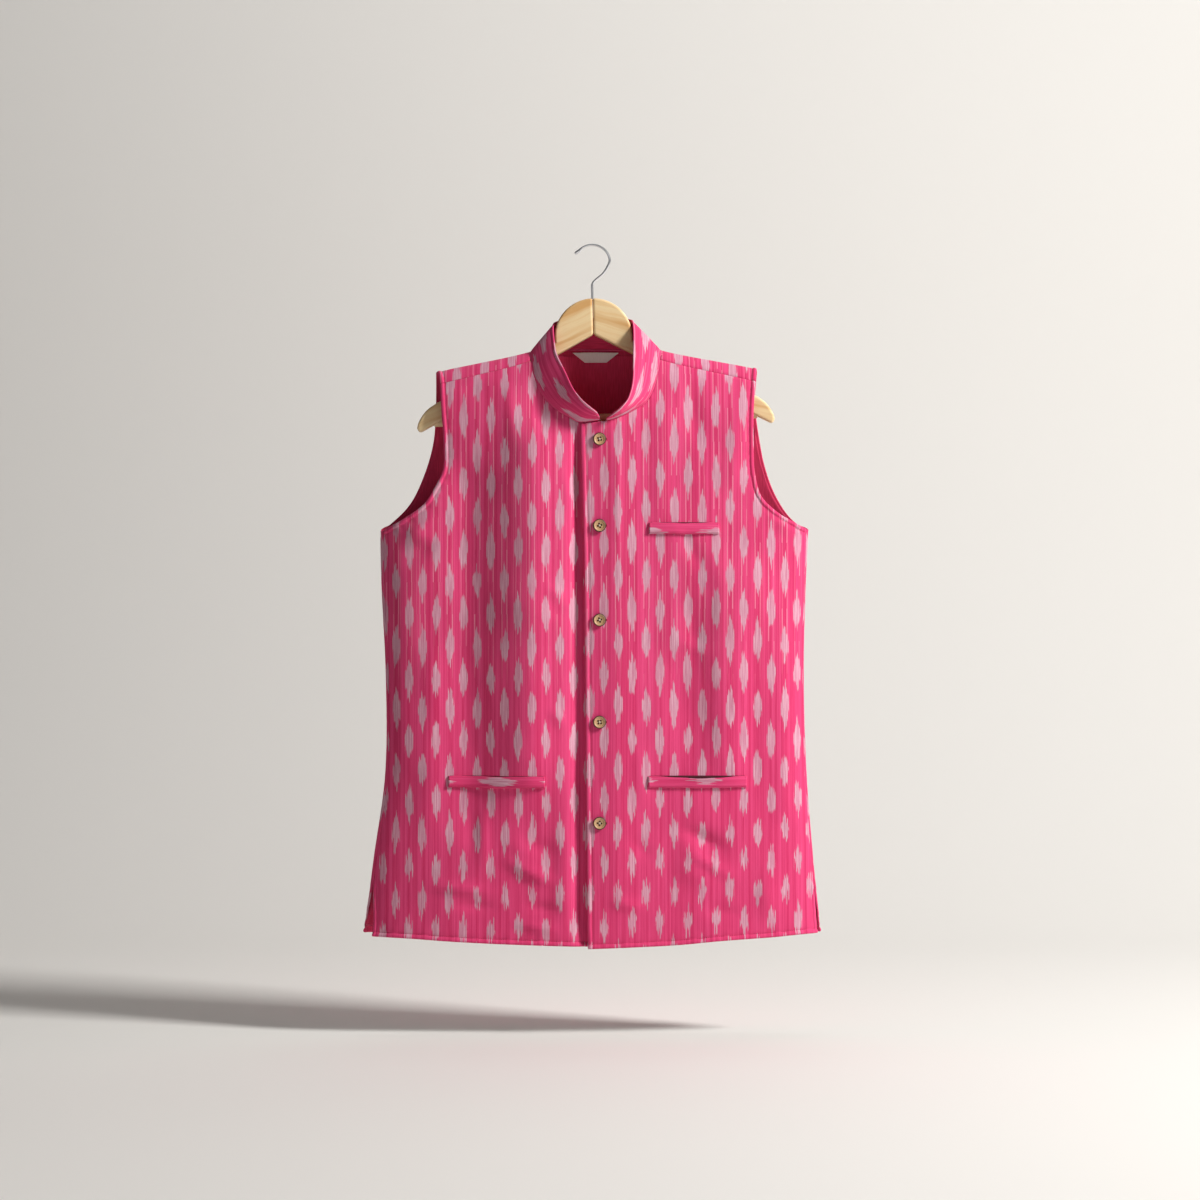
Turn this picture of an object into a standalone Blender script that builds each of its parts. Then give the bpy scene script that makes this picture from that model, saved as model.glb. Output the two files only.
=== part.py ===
"""Nehru jacket on a wooden hanger: a sleeveless, stand-collared jacket of ikat cotton.

Metres, +Z up. The jacket's front faces -Y and its wearer's left front lies at +X, on top.
The origin is the point inside the hook's crook that the hanger hangs from.

The body of the jacket is one lens-shaped shell, and a point of it has two coordinates. Its
side angle runs from -pi/2 at the left side fold to pi/2 at the right one. Its drop is zero on
the fold along the top of the shoulders, and grows down the back, or falls below zero down the
front. Every panel is a patch of that shell between its own cut edges, so panels that are sewn
together meet along the same line.
"""

import math
from functools import partial

import bmesh
import bpy
import numpy as np
from mathutils import Matrix

# --- cloth ------------------------------------------------------------------------------------
SEAM_GAP = 0.0003
PANEL_THICKNESS = 0.0016
LINING_THICKNESS = 0.0010
BAND_THICKNESS = 0.0012
PLACKET_LIFT = PANEL_THICKNESS + 0.0009   # the top front's height over the under one
PLACKET_FADE = (0.022, 0.070)             # where that height goes back to nothing
UNDER_CLEAR = (-0.024, -0.015)            # the under front has no folds past here
SHOULDER_CLEAR = (0.018, 0.040)           # folds die away this far below the shoulder line
WELT_GAP = 0.0008
LABEL_GAP = 0.0012
LINING_GAP = 0.0008
BUTTON_SEAT = 0.0005
NORMAL_STEP = 0.0002                      # step in a surface's coordinates to find its normals

# --- the shell: one row for each level section ------------------------------------------------
SECTION_COLUMNS = ("height", "left", "right", "front_depth", "back_depth")
SECTIONS = (
    (-0.100, -0.2640, 0.2580, 0.0440, 0.0460),
    (-0.150, -0.2640, 0.2580, 0.0410, 0.0430),
    (-0.250, -0.2640, 0.2580, 0.0350, 0.0320),
    (-0.352, -0.2712, 0.2618, 0.0370, 0.0300),
    (-0.420, -0.2700, 0.2590, 0.0370, 0.0290),
    (-0.527, -0.2648, 0.2565, 0.0360, 0.0280),
    (-0.664, -0.2660, 0.2605, 0.0365, 0.0280),
    (-0.764, -0.2800, 0.2685, 0.0385, 0.0290),
    (-0.872, -0.2935, 0.2785, 0.0400, 0.0300),
)
FULLNESS = 0.16           # how much squarer than an ellipse the level section is
ARCH_DROP = 0.170         # drop over which the shoulder arch reaches its full depth

# --- shoulder line ----------------------------------------------------------------------------
CENTRE_X = -0.003
SHOULDER_CENTRE_Z = -0.1150
SHOULDER_SLOPE = 0.193
SHOULDER_TILT = 0.0110
SHOULDER_ROUND = 0.020
NECK_RISE = 0.022
NECK_REACH = 0.050
SEAM_FORWARD_AT_NECK = 0.0130     # how far the shoulder seam lies below the fold, on the front
SEAM_FORWARD_AT_ARM = 0.0165

# --- cut edges, as (x, z) ---------------------------------------------------------------------
PLACKET_EDGE = ((-0.0123, -0.8708), (-0.0148, -0.636), (-0.0173, -0.390), (-0.0216, -0.2224))
UNDER_EDGE = ((0.0215, -0.8690), (0.0205, -0.500), (0.0195, -0.2235))
HEM_UNDER = ((0.0215, -0.8690), (-0.060, -0.8670), (-0.130, -0.8648), (-0.185, -0.8622),
             (-0.240, -0.8590), (-0.2812, -0.8580))
HEM_TOP = ((-0.0123, -0.8708), (0.037, -0.8690), (0.100, -0.8662), (0.148, -0.8618),
           (0.218, -0.8575), (0.258, -0.8545), (0.2752, -0.8538))
HEM_BACK = ((-0.2916, -0.8540), (-0.200, -0.8600), (0.000, -0.8630), (0.190, -0.8585),
            (0.2785, -0.8530))
SLIT_TOP_Z = -0.7866
SIDE_SEAM_INSET_LEFT = 0.0040     # how far the side seam lies inside the side fold
SIDE_SEAM_INSET_RIGHT = 0.0022
SLIT_LENGTH = 0.068
SLIT_SPREAD_LEFT = 0.0068
SLIT_SPREAD_RIGHT = 0.0012
SIDE_GAP_ANGLE = 0.010            # keeps the back's side edge off the front's
ARMHOLE_START = 4                 # where the armhole's smoothed line takes over from the side edge
ARMHOLE_FRONT_LEFT = ((-0.2670, -0.3535), (-0.2385, -0.3375), (-0.2140, -0.3190),
                      (-0.2015, -0.2990), (-0.1935, -0.2830), (-0.1918, -0.2400),
                      (-0.1945, -0.2040), (-0.1963, -0.1690))
ARMHOLE_BACK_LEFT = ((-0.2690, -0.3545), (-0.2350, -0.3200), (-0.2170, -0.2820),
                     (-0.2060, -0.2420), (-0.2030, -0.2000), (-0.2020, -0.1570))
ARMHOLE_FRONT_RIGHT = ((0.2590, -0.3515), (0.2450, -0.3440), (0.2200, -0.3290),
                       (0.2030, -0.3120), (0.1950, -0.2850), (0.1930, -0.2450),
                       (0.1935, -0.2000), (0.1960, -0.1680))
ARMHOLE_BACK_RIGHT = ((0.2605, -0.3530), (0.2430, -0.3400), (0.2240, -0.3130),
                      (0.2100, -0.2770), (0.2010, -0.2320), (0.1965, -0.1900),
                      (0.1985, -0.1560))

# --- collar: one row for each station round the neck ------------------------------------------
# The base is where the band is sewn to the jacket; its depth follows from the shell.
# Columns: base_x, base_z, top_x, top_y, top_z.
COLLAR_LEFT_FRONT = (
    (0.0025, -0.2187, 0.0015, -0.0455, -0.2117),
    (-0.0111, -0.2202, -0.0025, -0.0510, -0.2081),
    (-0.0242, -0.2202, -0.0098, -0.0540, -0.2024),
    (-0.0362, -0.2140, -0.0196, -0.0535, -0.1937),
    (-0.0527, -0.2041, -0.0307, -0.0490, -0.1790),
    (-0.0681, -0.1874, -0.0406, -0.0410, -0.1574),
    (-0.0781, -0.1659, -0.0509, -0.0325, -0.1357),
    (-0.0825, -0.1475, -0.0538, -0.0230, -0.1200),
    (-0.0841, -0.1309, -0.0554, -0.0050, -0.0988),
)
COLLAR_BACK = (
    (-0.0640, -0.1285, -0.0515, 0.0100, -0.0915),
    (-0.0374, -0.1272, -0.0340, 0.0135, -0.0880),
    (-0.0030, -0.1270, -0.0040, 0.0150, -0.0870),
    (0.0300, -0.1270, 0.0250, 0.0135, -0.0870),
    (0.0570, -0.1268, 0.0395, 0.0100, -0.0890),
)
COLLAR_RIGHT_FRONT = (
    (0.0773, -0.1278, 0.0430, -0.0040, -0.0938),
    (0.0765, -0.1450, 0.0439, -0.0220, -0.1139),
    (0.0735, -0.1630, 0.0436, -0.0320, -0.1336),
    (0.0685, -0.1800, 0.0435, -0.0398, -0.1512),
    (0.0605, -0.1945, 0.0426, -0.0462, -0.1708),
    (0.0480, -0.2035, 0.0380, -0.0512, -0.1897),
    (0.0334, -0.2113, 0.0296, -0.0545, -0.2023),
    (0.0200, -0.2160, 0.0193, -0.0525, -0.2109),
    (0.0099, -0.2188, 0.0103, -0.0460, -0.2161),
)
COLLAR_ROLL = 0.0015              # how far the band bulges between its edges
COLLAR_LIFT_FRONT = 0.0012        # clearance that the band's lean needs over the front neckline
COLLAR_LIFT_BACK = 0.0010
COLLAR_LIFT_DEPTHS = (0.004, 0.020)       # the clearance grows between these depths in front

# --- folds: soft ridges (+) and troughs (-) that run from one point to another ----------------
# Columns: x_0, z_0, x_1, z_1, width, height.
FOLDS_UNDER = (
    (-0.0260, -0.245, -0.0245, -0.880, 0.0080, -0.0040),   # trough beside the placket's edge
    (-0.0440, -0.235, -0.0420, -0.860, 0.0120, 0.0026),    # ridge beyond it
    (-0.0800, -0.195, -0.0850, -0.690, 0.0360, 0.0075),    # long fold from the neck
    (-0.1620, -0.250, -0.1580, -0.760, 0.0300, -0.0048),   # hollow beside it
    (-0.1960, -0.170, -0.1080, -0.148, 0.0100, -0.0024),   # drag line on the shoulder
    (-0.2450, -0.350, -0.1900, -0.375, 0.0110, 0.0022),    # drag line under the armhole
    (-0.1300, -0.720, -0.0550, -0.785, 0.0140, 0.0024),    # break below the pocket
)
FOLDS_TOP = (
    (0.0950, -0.480, 0.1250, -0.660, 0.0260, -0.0034),     # hollow between the pockets
    (0.0950, -0.735, 0.1700, -0.775, 0.0130, -0.0026),     # break below the pocket
    (0.0900, -0.760, 0.1550, -0.800, 0.0130, 0.0024),
    (0.1950, -0.370, 0.1900, -0.600, 0.0240, 0.0030),
)
FOLD_FADE = 0.060                 # a fold dies away over this length at each end

# --- mesh sizes -------------------------------------------------------------------------------
FRONT_ROWS = (13, 5, 9)           # hem to underarm, on to the neckline, on to the seam
FRONT_COLUMNS = 14
CROWDING = 0.40                   # how much closer the columns stand beside the placket
EDGE_FADE = 2                     # keeps the hem's and the seam's spacing off the armhole
ROW_SAG = 0.03                    # turns the rows away from the neckline and the armhole
TURN_WEIGHT = 0.09                # metres that a radian of bend counts for in the spacing
BACK_ROWS = (9, 6, 5)             # hem to underarm, on to the shoulder, over it
BACK_COLUMNS = (7, 14)            # along each shoulder seam, along the neckline
LINING_HEM = 0.35                 # the lining ends this share of a cell inside the back's hem,
LINING_SEAM = 0.06                # its upper seams,
LINING_ARMHOLE = 0.16             # its armholes
LINING_SIDE_FOLD = 0.85           # and its side edges where they go round the side folds,
LINING_ANGLE = 1.20               # which is where the side angle is larger than this
COLLAR_COLUMN_COUNT = 42
COLLAR_ROW_COUNT = 3
FACING_INSET = (0.004, 0.02)      # how far the facing ends inside the collar, as shares
WELT_CELLS = (8, 1)
BUTTON_STEPS = 16
DOME_STEPS = 12
HOOK_POINTS = 40

# --- pockets, label, buttons ------------------------------------------------------------------
# Columns: name, left, right, top, bottom, and the front it lies on.
WELTS = (
    ("welt_chest", 0.0632, 0.1496, -0.3445, -0.3584, "top"),
    ("welt_lower_right", 0.0616, 0.1837, -0.6578, -0.6720, "top"),
    ("welt_lower_left", -0.1853, -0.0655, -0.6580, -0.6722, "under"),
)
WELT_THICKNESS = 0.0012
LABEL_TOP_HALF = 0.0300
LABEL_BOTTOM_HALF = 0.0140
LABEL_TOP_Z = -0.1286
LABEL_BOTTOM_Z = -0.1412
LABEL_THICKNESS = 0.0010
LABEL_CELLS = (6, 2)
BUTTON_X = 0.0020
BUTTON_Z = (-0.2412, -0.3480, -0.4647, -0.5907, -0.7154)
BUTTON_RADIUS = 0.0080
BUTTON_THICKNESS = 0.0030
BUTTON_RIM = 0.0017
BUTTON_DISH = 0.0008
BUTTON_EDGE = 0.0008                      # rounding of the rim
BUTTON_HOLE_RADIUS = 0.0009
BUTTON_HOLE_PITCH = 0.0032

# --- hanger -----------------------------------------------------------------------------------
HANGER_TILT = math.radians(1.55)
HANGER_CENTRE = (-0.0055, -0.1128)      # middle of the dome, where the two halves meet
DOME_RADIUS = 0.0486
HANGER_THICKNESS = 0.014
HANGER_EDGE = 0.0028                    # rounding of the wood's edges
HALF_JOINT = 0.00015                    # each half stops this far from the middle
APEX_Z = 0.0031                         # the underside's apex, above the dome's middle
ARM_PITCH = math.radians(28.0)
ARM_TOP = ((0.0484, -0.0058), (0.0576, -0.0127), (0.0790, -0.0244), (0.1400, -0.0505),
           (0.1970, -0.0764))           # top edge, out from the dome
TIP = ((0.1970, -0.0764), (0.2094, -0.0845), (0.2196, -0.0980), (0.2228, -0.1080),
       (0.2200, -0.1133))               # round the end, down to the underside
TIP_CORNER = 0.004                      # how far inside the tip the straight underside starts
BAR_RADIUS = 0.0055
BAR_Z = -0.1008
BAR_HALF_LENGTH = 0.2010
WIRE_RADIUS = 0.0015
CROOK_RADIUS = 0.02206
CROOK_CENTRE = (-0.0071, -0.0193)
HOOK_TIP = (1.15, 1.45, 1.5, 0.9)         # the wire's last points swell to these times its radius
HOOK_SEAT_DEPTH = 0.0040
STEM_AND_BEND = ((-0.0071, -0.0676), (-0.0071, -0.0560), (-0.0068, -0.0455), (-0.0020, -0.0402),
                 (0.0045, -0.0350), (0.0110, -0.0262))
CROOK_START = math.radians(9.5)
CROOK_END = math.radians(140)
HOOK_END = (-0.0288, -0.0085)

# --- colours (linear) -------------------------------------------------------------------------
PINK = (0.723, 0.045, 0.155)
LINING_PINK = (0.440, 0.020, 0.072)
LABEL_WHITE = (0.80, 0.76, 0.72)
PINE = (0.80, 0.60, 0.33)
STEEL = (0.55, 0.56, 0.60)
COCONUT = (0.45, 0.29, 0.14)


# --- curves through the tables ----------------------------------------------------------------
def spline(knots, values, at):
    """Smooth values at the places `at`, through a table's values at its rising knots."""
    knots = np.asarray(knots, float)
    values = np.asarray(values, float)
    at = np.clip(np.asarray(at, float), knots[0], knots[-1])
    step = np.diff(knots)
    slope = np.diff(values) / step
    tangent = np.empty_like(values)
    tangent[0], tangent[-1] = slope[0], slope[-1]
    tangent[1:-1] = (slope[:-1] * step[1:] + slope[1:] * step[:-1]) / (step[:-1] + step[1:])
    k = np.clip(np.searchsorted(knots, at) - 1, 0, len(step) - 1)
    h = step[k]
    t = (at - knots[k]) / h
    return (values[k] * (1 + 2 * t) * (1 - t) ** 2 + values[k + 1] * t * t * (3 - 2 * t)
            + h * tangent[k] * t * (1 - t) ** 2 + h * tangent[k + 1] * t * t * (t - 1))


def lengths(points):
    """Distance along a line of points, from its start to each of them."""
    return np.concatenate([[0], np.cumsum(np.linalg.norm(np.diff(points, axis=0), axis=1))])


def smooth_line(points, count=80):
    """Points at even spacing on a smooth curve through the given ones."""
    points = np.asarray(points, float)
    knots = lengths(points)
    at = np.linspace(0, knots[-1], count)
    return np.stack([spline(knots, points[:, k], at) for k in range(points.shape[1])], axis=-1)


def smoothstep(low, high, value):
    t = np.clip((value - low) / (high - low), 0, 1)
    return t * t * (3 - 2 * t)


def section(name, z):
    """A column of SECTIONS at height z."""
    rows = SECTIONS[::-1]
    column = SECTION_COLUMNS.index(name)
    return spline([row[0] for row in rows], [row[column] for row in rows], z)


# --- the shell --------------------------------------------------------------------------------
def shoulder_z(x):
    """Height of the fold on top of the shoulders, carried on over the neck."""
    off = np.asarray(x, float) - CENTRE_X
    return (SHOULDER_CENTRE_Z - SHOULDER_SLOPE * np.sqrt(off ** 2 + SHOULDER_ROUND ** 2)
            + SHOULDER_TILT * off + NECK_RISE * np.exp(-((off / NECK_REACH) ** 2)))


def coordinates(points, face, over=False):
    """(side angle, drop) of (x, z) points. face is 1 on the back and -1 on the front.
    over puts points of the back past the side fold, which brings them to the front."""
    x, z = np.asarray(points, float).T
    left, right = section("left", z), section("right", z)
    angle = np.arcsin(np.clip((2 * x - left - right) / (right - left), -1, 1))
    if over:
        angle = np.sign(angle) * math.pi - angle
    below = np.maximum(shoulder_z(x) - z, 0)
    arch = ARCH_DROP * np.arccos(np.clip(1 - below / ARCH_DROP, 0, 1))
    drop = np.where(below < ARCH_DROP, arch, ARCH_DROP * (math.pi / 2 - 1) + below)
    return np.stack([angle, face * drop], axis=-1)


def shell(places):
    """Points of the shell at an array of (side angle, drop)."""
    angle, drop = places[..., 0], places[..., 1]
    size = np.abs(drop)
    turn = np.clip(drop / ARCH_DROP, -math.pi / 2, math.pi / 2)
    below = ARCH_DROP * (1 - np.cos(turn)) + np.maximum(size - ARCH_DROP * math.pi / 2, 0)
    x = np.sin(angle) * section("right", -0.4)
    for _ in range(8):
        z = shoulder_z(x) - below
        left, right = section("left", z), section("right", z)
        x = (left + right) / 2 + (right - left) / 2 * np.sin(angle)
    out = np.cos(angle) * (1 + FULLNESS * np.sin(angle) ** 2) * np.sin(turn)
    depth = np.where(out > 0, section("back_depth", z), section("front_depth", z))
    return np.stack([x, out * depth, z], axis=-1)


def fold_height(rows, x, z):
    """Outward height of a table's folds at (x, z)."""
    total = np.zeros_like(x)
    for x_0, z_0, x_1, z_1, width, height in rows:
        run = np.array([x_1 - x_0, z_1 - z_0])
        length = np.linalg.norm(run)
        run /= length
        on = (x - x_0) * run[0] + (z - z_0) * run[1]
        off = (x - x_0) * run[1] - (z - z_0) * run[0]
        fade = min(FOLD_FADE, length / 2)
        ends = smoothstep(0, fade, on) * smoothstep(0, fade, length - on)
        total = total + height * ends * np.exp(-((off / width) ** 2))
    return total


def relief(side, x, z):
    """How far a front stands outside the shell. side is "top" or "under" in the placket."""
    seam_clear = smoothstep(*SHOULDER_CLEAR, shoulder_z(x) - z)
    if side == "top":
        lift = PLACKET_LIFT * (1 - smoothstep(*PLACKET_FADE, x))
        return lift + seam_clear * fold_height(FOLDS_TOP, x, z)
    return seam_clear * (1 - smoothstep(*UNDER_CLEAR, x)) * fold_height(FOLDS_UNDER, x, z)


def front_surface(places, side):
    """Points of a front's outer surface at an array of (side angle, drop)."""
    points = shell(places)
    points[..., 1] -= relief(side, points[..., 0], points[..., 2])
    return points


# --- patches of the shell ---------------------------------------------------------------------
def even(places, count, crowd=0.0):
    """Coordinates at count + 1 places along an edge, evenly spaced in space, or crowded
    towards its start if crowd is above zero."""
    run = lengths(shell(places)) + TURN_WEIGHT * lengths(outward(shell, places))
    t = np.linspace(0, 1, count + 1)
    at = run[-1] * ((1 - crowd) * t + crowd * t * t)
    return np.stack([np.interp(at, run, places[:, k]) for k in (0, 1)], axis=-1)


def join(*stretches):
    """One edge from stretches that each start where the last one ends."""
    return np.concatenate([stretches[0]] + [s[1:] for s in stretches[1:]])


def coons(left, right, bottom, top, progress=None, fade=1, sag=0.0):
    """A grid of coordinates between four edges: left and right run up, the others across.
    progress is how far each row is from bottom to top, and is even if it isn't given. The
    shapes of bottom and top die away from them faster with a larger fade, and sag takes the
    middle rows' drop down between their ends."""
    v = np.linspace(0, 1, len(left)) if progress is None else progress
    v = v[:, None, None]
    run = lengths(bottom * [1, 0])
    u = (run / run[-1])[None, :, None]
    grid = (1 - u) * left[:, None] + u * right[:, None]
    grid = grid + (1 - v) ** fade * (bottom - grid[0]) + v ** fade * (top - grid[-1])
    return grid - 16 * u * (1 - u) * v * (1 - v) * np.array([0, sag])


def outward(surface, places):
    """Unit normals of a surface at an array of its two coordinates."""
    steps = np.array([[NORMAL_STEP, 0], [0, NORMAL_STEP]])
    one, other = (surface(places + step) - surface(places - step) for step in steps)
    normal = np.cross(one, other)
    return normal / np.linalg.norm(normal, axis=-1, keepdims=True)


# --- cut edges in coordinates -----------------------------------------------------------------
def side_edge(sign, low, high, on_back):
    """The side seam from height low up to high, with the slit's two edges drawn apart."""
    z = np.linspace(low, high, 60)
    left = sign < 0
    edge = section("left" if left else "right", z)
    slit = smoothstep(0, SLIT_LENGTH, SLIT_TOP_Z - z)
    inset = SIDE_SEAM_INSET_LEFT if left else SIDE_SEAM_INSET_RIGHT
    spread = SLIT_SPREAD_LEFT if left else SLIT_SPREAD_RIGHT
    inset = inset * (1 - slit) if on_back else inset + spread * slit
    places = coordinates(np.stack([edge - sign * inset, z], axis=-1), 1 if on_back else -1, on_back)
    if on_back:
        places[:, 0] -= sign * SIDE_GAP_ANGLE
    return places


def neck_places():
    """The neckline all round, from the left front end to the right one."""
    front = [row[:2] for row in COLLAR_LEFT_FRONT]
    back = [row[:2] for row in COLLAR_BACK]
    other = [row[:2] for row in COLLAR_RIGHT_FRONT]
    return np.concatenate([coordinates(front, -1), coordinates(back, 1), coordinates(other, -1)])


def neck_curve(share):
    """Coordinates of the neckline at shares (0 to 1) of the collar's rows."""
    places = neck_places()
    knots = np.linspace(0, 1, len(places))
    return np.stack([spline(knots, places[:, k], share) for k in (0, 1)], axis=-1)


def neck_stretch(start, end, count=60):
    return neck_curve(np.linspace(start, end, count))


def level_line(start, end):
    """Coordinates along the line that looks straight from the front, between two places."""
    ends = shell(np.array([start, end]))[:, [0, 2]]
    return coordinates(np.linspace(*ends, 13), -1)


def seam_shares():
    """Shares of the neckline where it crosses the two shoulder seams."""
    share = np.linspace(0, 1, 2001)
    drop = neck_curve(share)[:, 1]
    seam_drop = coordinates([(0.08, shoulder_z(0.08) - SEAM_FORWARD_AT_NECK)], -1)[0, 1]
    inside = np.flatnonzero(drop > seam_drop)
    return share[inside[0]], share[inside[-1]]


def shoulder_seam(neck, arm_x, gap=0.0):
    """The shoulder seam on the front, from the neckline out to the armhole."""
    start = shell(neck)
    x = np.linspace(start[0], arm_x, 60)
    share = (x - start[0]) / (arm_x - start[0])
    below = shoulder_z(start[0]) - start[2]
    below = below + (SEAM_FORWARD_AT_ARM - below) * share - gap
    return coordinates(np.stack([x, shoulder_z(x) - below], axis=-1), -1)


# --- panels -----------------------------------------------------------------------------------
def front_places(side, rows, columns):
    """Coordinates of one front. side is "top" (the wearer's left front, at +X) or "under"."""
    top = side == "top"
    sign = 1 if top else -1
    centre = coordinates(smooth_line(PLACKET_EDGE if top else UNDER_EDGE), -1)
    hem = coordinates(smooth_line(HEM_TOP if top else HEM_UNDER), -1)
    arm = coordinates(smooth_line(ARMHOLE_FRONT_RIGHT if top else ARMHOLE_FRONT_LEFT), -1)
    left_share, right_share = seam_shares()
    if top:
        neck = neck_stretch(1, right_share)
    else:
        neck = neck_stretch(0, left_share)
    neck = np.concatenate([level_line(centre[-1], neck[0])[:-1], neck])
    seam = shoulder_seam(neck[-1], shell(arm[-1])[0])
    arm[-1] = seam[-1]
    low_z, arm_z = shell(hem[-1])[2], shell(arm[0])[2]
    side_line = side_edge(sign, low_z, arm_z, False)
    arm[0], hem[-1] = side_line[-1], side_line[0]
    below, middle, above = rows
    inner = join(even(centre, below + middle), even(neck, above))
    outer = join(even(side_line, below), even(arm, middle + above))
    bottom, upper = even(hem, columns, CROWDING), even(seam, columns)
    if top:
        return coons(inner, outer, bottom, upper, fade=EDGE_FADE, sag=ROW_SAG)
    return coons(outer, inner, bottom[::-1], upper[::-1], fade=EDGE_FADE, sag=ROW_SAG)


def back_places(rows, columns):
    """Coordinates of the back, which is carried over the shoulders to the front."""
    below, above, over = rows
    shoulder_columns, neck_columns = columns
    shares = seam_shares()
    edges, seams = [], []
    for sign, arm, arm_x, share in ((-1, ARMHOLE_BACK_LEFT, ARMHOLE_FRONT_LEFT[-1][0], shares[0]),
                                    (1, ARMHOLE_BACK_RIGHT, ARMHOLE_FRONT_RIGHT[-1][0], shares[1])):
        hem_z = HEM_BACK[0][1] if sign < 0 else HEM_BACK[-1][1]
        side_line = side_edge(sign, hem_z, arm[0][1], True)
        neck = neck_curve(np.array([share]))[0]
        seam = shoulder_seam(neck, arm_x, SEAM_GAP)
        arm_line = np.concatenate([side_line[-1:], coordinates(smooth_line(arm)[ARMHOLE_START:], 1)])
        wrap = np.linspace(arm_line[-1], seam[-1], over + 1)
        edges.append(join(even(side_line, below), even(arm_line, above), wrap))
        seams.append(seam[::-1])
    neck = neck_stretch(*shares)
    neck[0], neck[-1] = seams[0][-1], seams[1][-1]
    top = join(even(seams[0], shoulder_columns), even(neck, neck_columns),
               even(seams[1][::-1], shoulder_columns))
    hem = coordinates(smooth_line(HEM_BACK, 200), 1)
    hem[0], hem[-1] = edges[0][0], edges[1][0]
    drops = [(edge[0, 1] - edge[:, 1]) / (edge[0, 1] - edge[-1, 1]) for edge in edges]
    return coons(edges[0], edges[1], even(hem, len(top) - 1), top, (drops[0] + drops[1]) / 2)


def drawn_in(grid, hem, seam, sides):
    """The same grid with its outermost points drawn in by these shares of a cell. sides has
    a share for each row, at the first column and at the last."""
    grid = grid.copy()
    grid[0] += (grid[1] - grid[0]) * hem
    grid[-1] += (grid[-2] - grid[-1]) * seam
    grid[:, 0] += (grid[:, 1] - grid[:, 0]) * sides[0][:, None]
    grid[:, -1] += (grid[:, -2] - grid[:, -1]) * sides[1][:, None]
    return grid


def collar_surface(places):
    """Points of the collar's outer surface at an array of (share round the neck from its
    right front end, share of height)."""
    share, w = 1 - places[..., 0], places[..., 1, None]
    neck = neck_curve(share)
    base = shell(neck)
    side = np.where(share < 0.5, relief("under", base[..., 0], base[..., 2]),
                    relief("top", base[..., 0], base[..., 2]))
    base[..., 1] -= np.where(neck[..., 1] < 0, side, 0)
    table = np.array(COLLAR_LEFT_FRONT + COLLAR_BACK + COLLAR_RIGHT_FRONT)
    knots = np.linspace(0, 1, len(table))
    top = np.stack([spline(knots, table[:, k], share) for k in (2, 3, 4)], axis=-1)
    rise = top - base
    forward = smoothstep(*COLLAR_LIFT_DEPTHS, -base[..., 1:2])
    lift = COLLAR_LIFT_BACK + (COLLAR_LIFT_FRONT - COLLAR_LIFT_BACK) * forward
    start = base + rise * lift / np.linalg.norm(rise, axis=-1, keepdims=True)
    middle = shell(neck_curve(np.full(1, 0.5)))[0] * [1, 0, 1]
    out = (base - middle) * [1, 1, 0]
    out /= np.linalg.norm(out, axis=-1, keepdims=True)
    return start + (top - start) * w + out * COLLAR_ROLL * 4 * w * (1 - w)


# --- objects ----------------------------------------------------------------------------------
def material(name, colour, roughness, metallic=0.0):
    made = bpy.data.materials.new(name)
    made.use_nodes = True
    shader = made.node_tree.nodes["Principled BSDF"]
    shader.inputs["Base Color"].default_value = (*colour, 1)
    shader.inputs["Roughness"].default_value = roughness
    shader.inputs["Metallic"].default_value = metallic
    return made


def add(name, mesh, finish, collection, parent=None):
    made = bpy.data.objects.new(name, mesh)
    collection.objects.link(made)
    made.parent = parent
    if not mesh.materials:
        mesh.materials.append(finish)
    mesh.shade_smooth()
    return made


def cloth(name, surface, places, thickness, finish, collection, inside=0.0, trim=None):
    """A wall of cloth between two offsets of a surface, over a grid of its coordinates. Its
    edges stand square to the surface, so the walls on both sides of a seam face each other.
    Every cell is split the same way, so walls that lie on each other stay parallel."""
    rows, columns = places.shape[:2]
    points, normal = surface(places), outward(surface, places)
    if trim:
        points, normal = drawn_in(points, *trim), drawn_in(normal, *trim)
    outer = points - normal * inside
    inner = outer - normal * thickness
    index = np.arange(rows * columns).reshape(rows, columns)
    under = index + rows * columns
    quads = [np.stack([index[:-1, :-1], index[:-1, 1:], index[1:, 1:], index[1:, :-1]], axis=-1),
             np.stack([under[:-1, :-1], under[1:, :-1], under[1:, 1:], under[:-1, 1:]], axis=-1)]
    quads = [q.reshape(-1, 4) for q in quads]
    ring = np.concatenate([index[0, :-1], index[:-1, -1], index[-1, :0:-1], index[:0:-1, 0]])
    following = np.roll(ring, -1)
    quads.append(np.stack([following, ring, ring + rows * columns, following + rows * columns], axis=-1))
    quads = np.concatenate(quads)
    triangles = np.concatenate([quads[:, [0, 1, 2]], quads[:, [0, 2, 3]]])
    mesh = bpy.data.meshes.new(name)
    corners = np.concatenate([outer.reshape(-1, 3), inner.reshape(-1, 3)])
    mesh.from_pydata(corners.tolist(), [], triangles.tolist())
    made = add(name, mesh, finish, collection)
    mesh.set_sharp_from_angle(angle=math.radians(60))
    return made


def make_panels(collection, ikat, plain):
    for name, side in (("front_left", "top"), ("front_right", "under")):
        places = front_places(side, FRONT_ROWS, FRONT_COLUMNS)
        cloth(name, partial(front_surface, side=side), places, PANEL_THICKNESS, ikat, collection)
    places = back_places(BACK_ROWS, BACK_COLUMNS)[:, ::-1]
    cloth("back", shell, places, PANEL_THICKNESS, ikat, collection)
    sides = [np.where(np.abs(places[:, k, 0]) > LINING_ANGLE, LINING_SIDE_FOLD, LINING_ARMHOLE)
             for k in (0, -1)]
    cloth("back_lining", shell, places, LINING_THICKNESS, plain, collection,
          inside=PANEL_THICKNESS + LINING_GAP, trim=(LINING_HEM, LINING_SEAM, sides))


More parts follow.
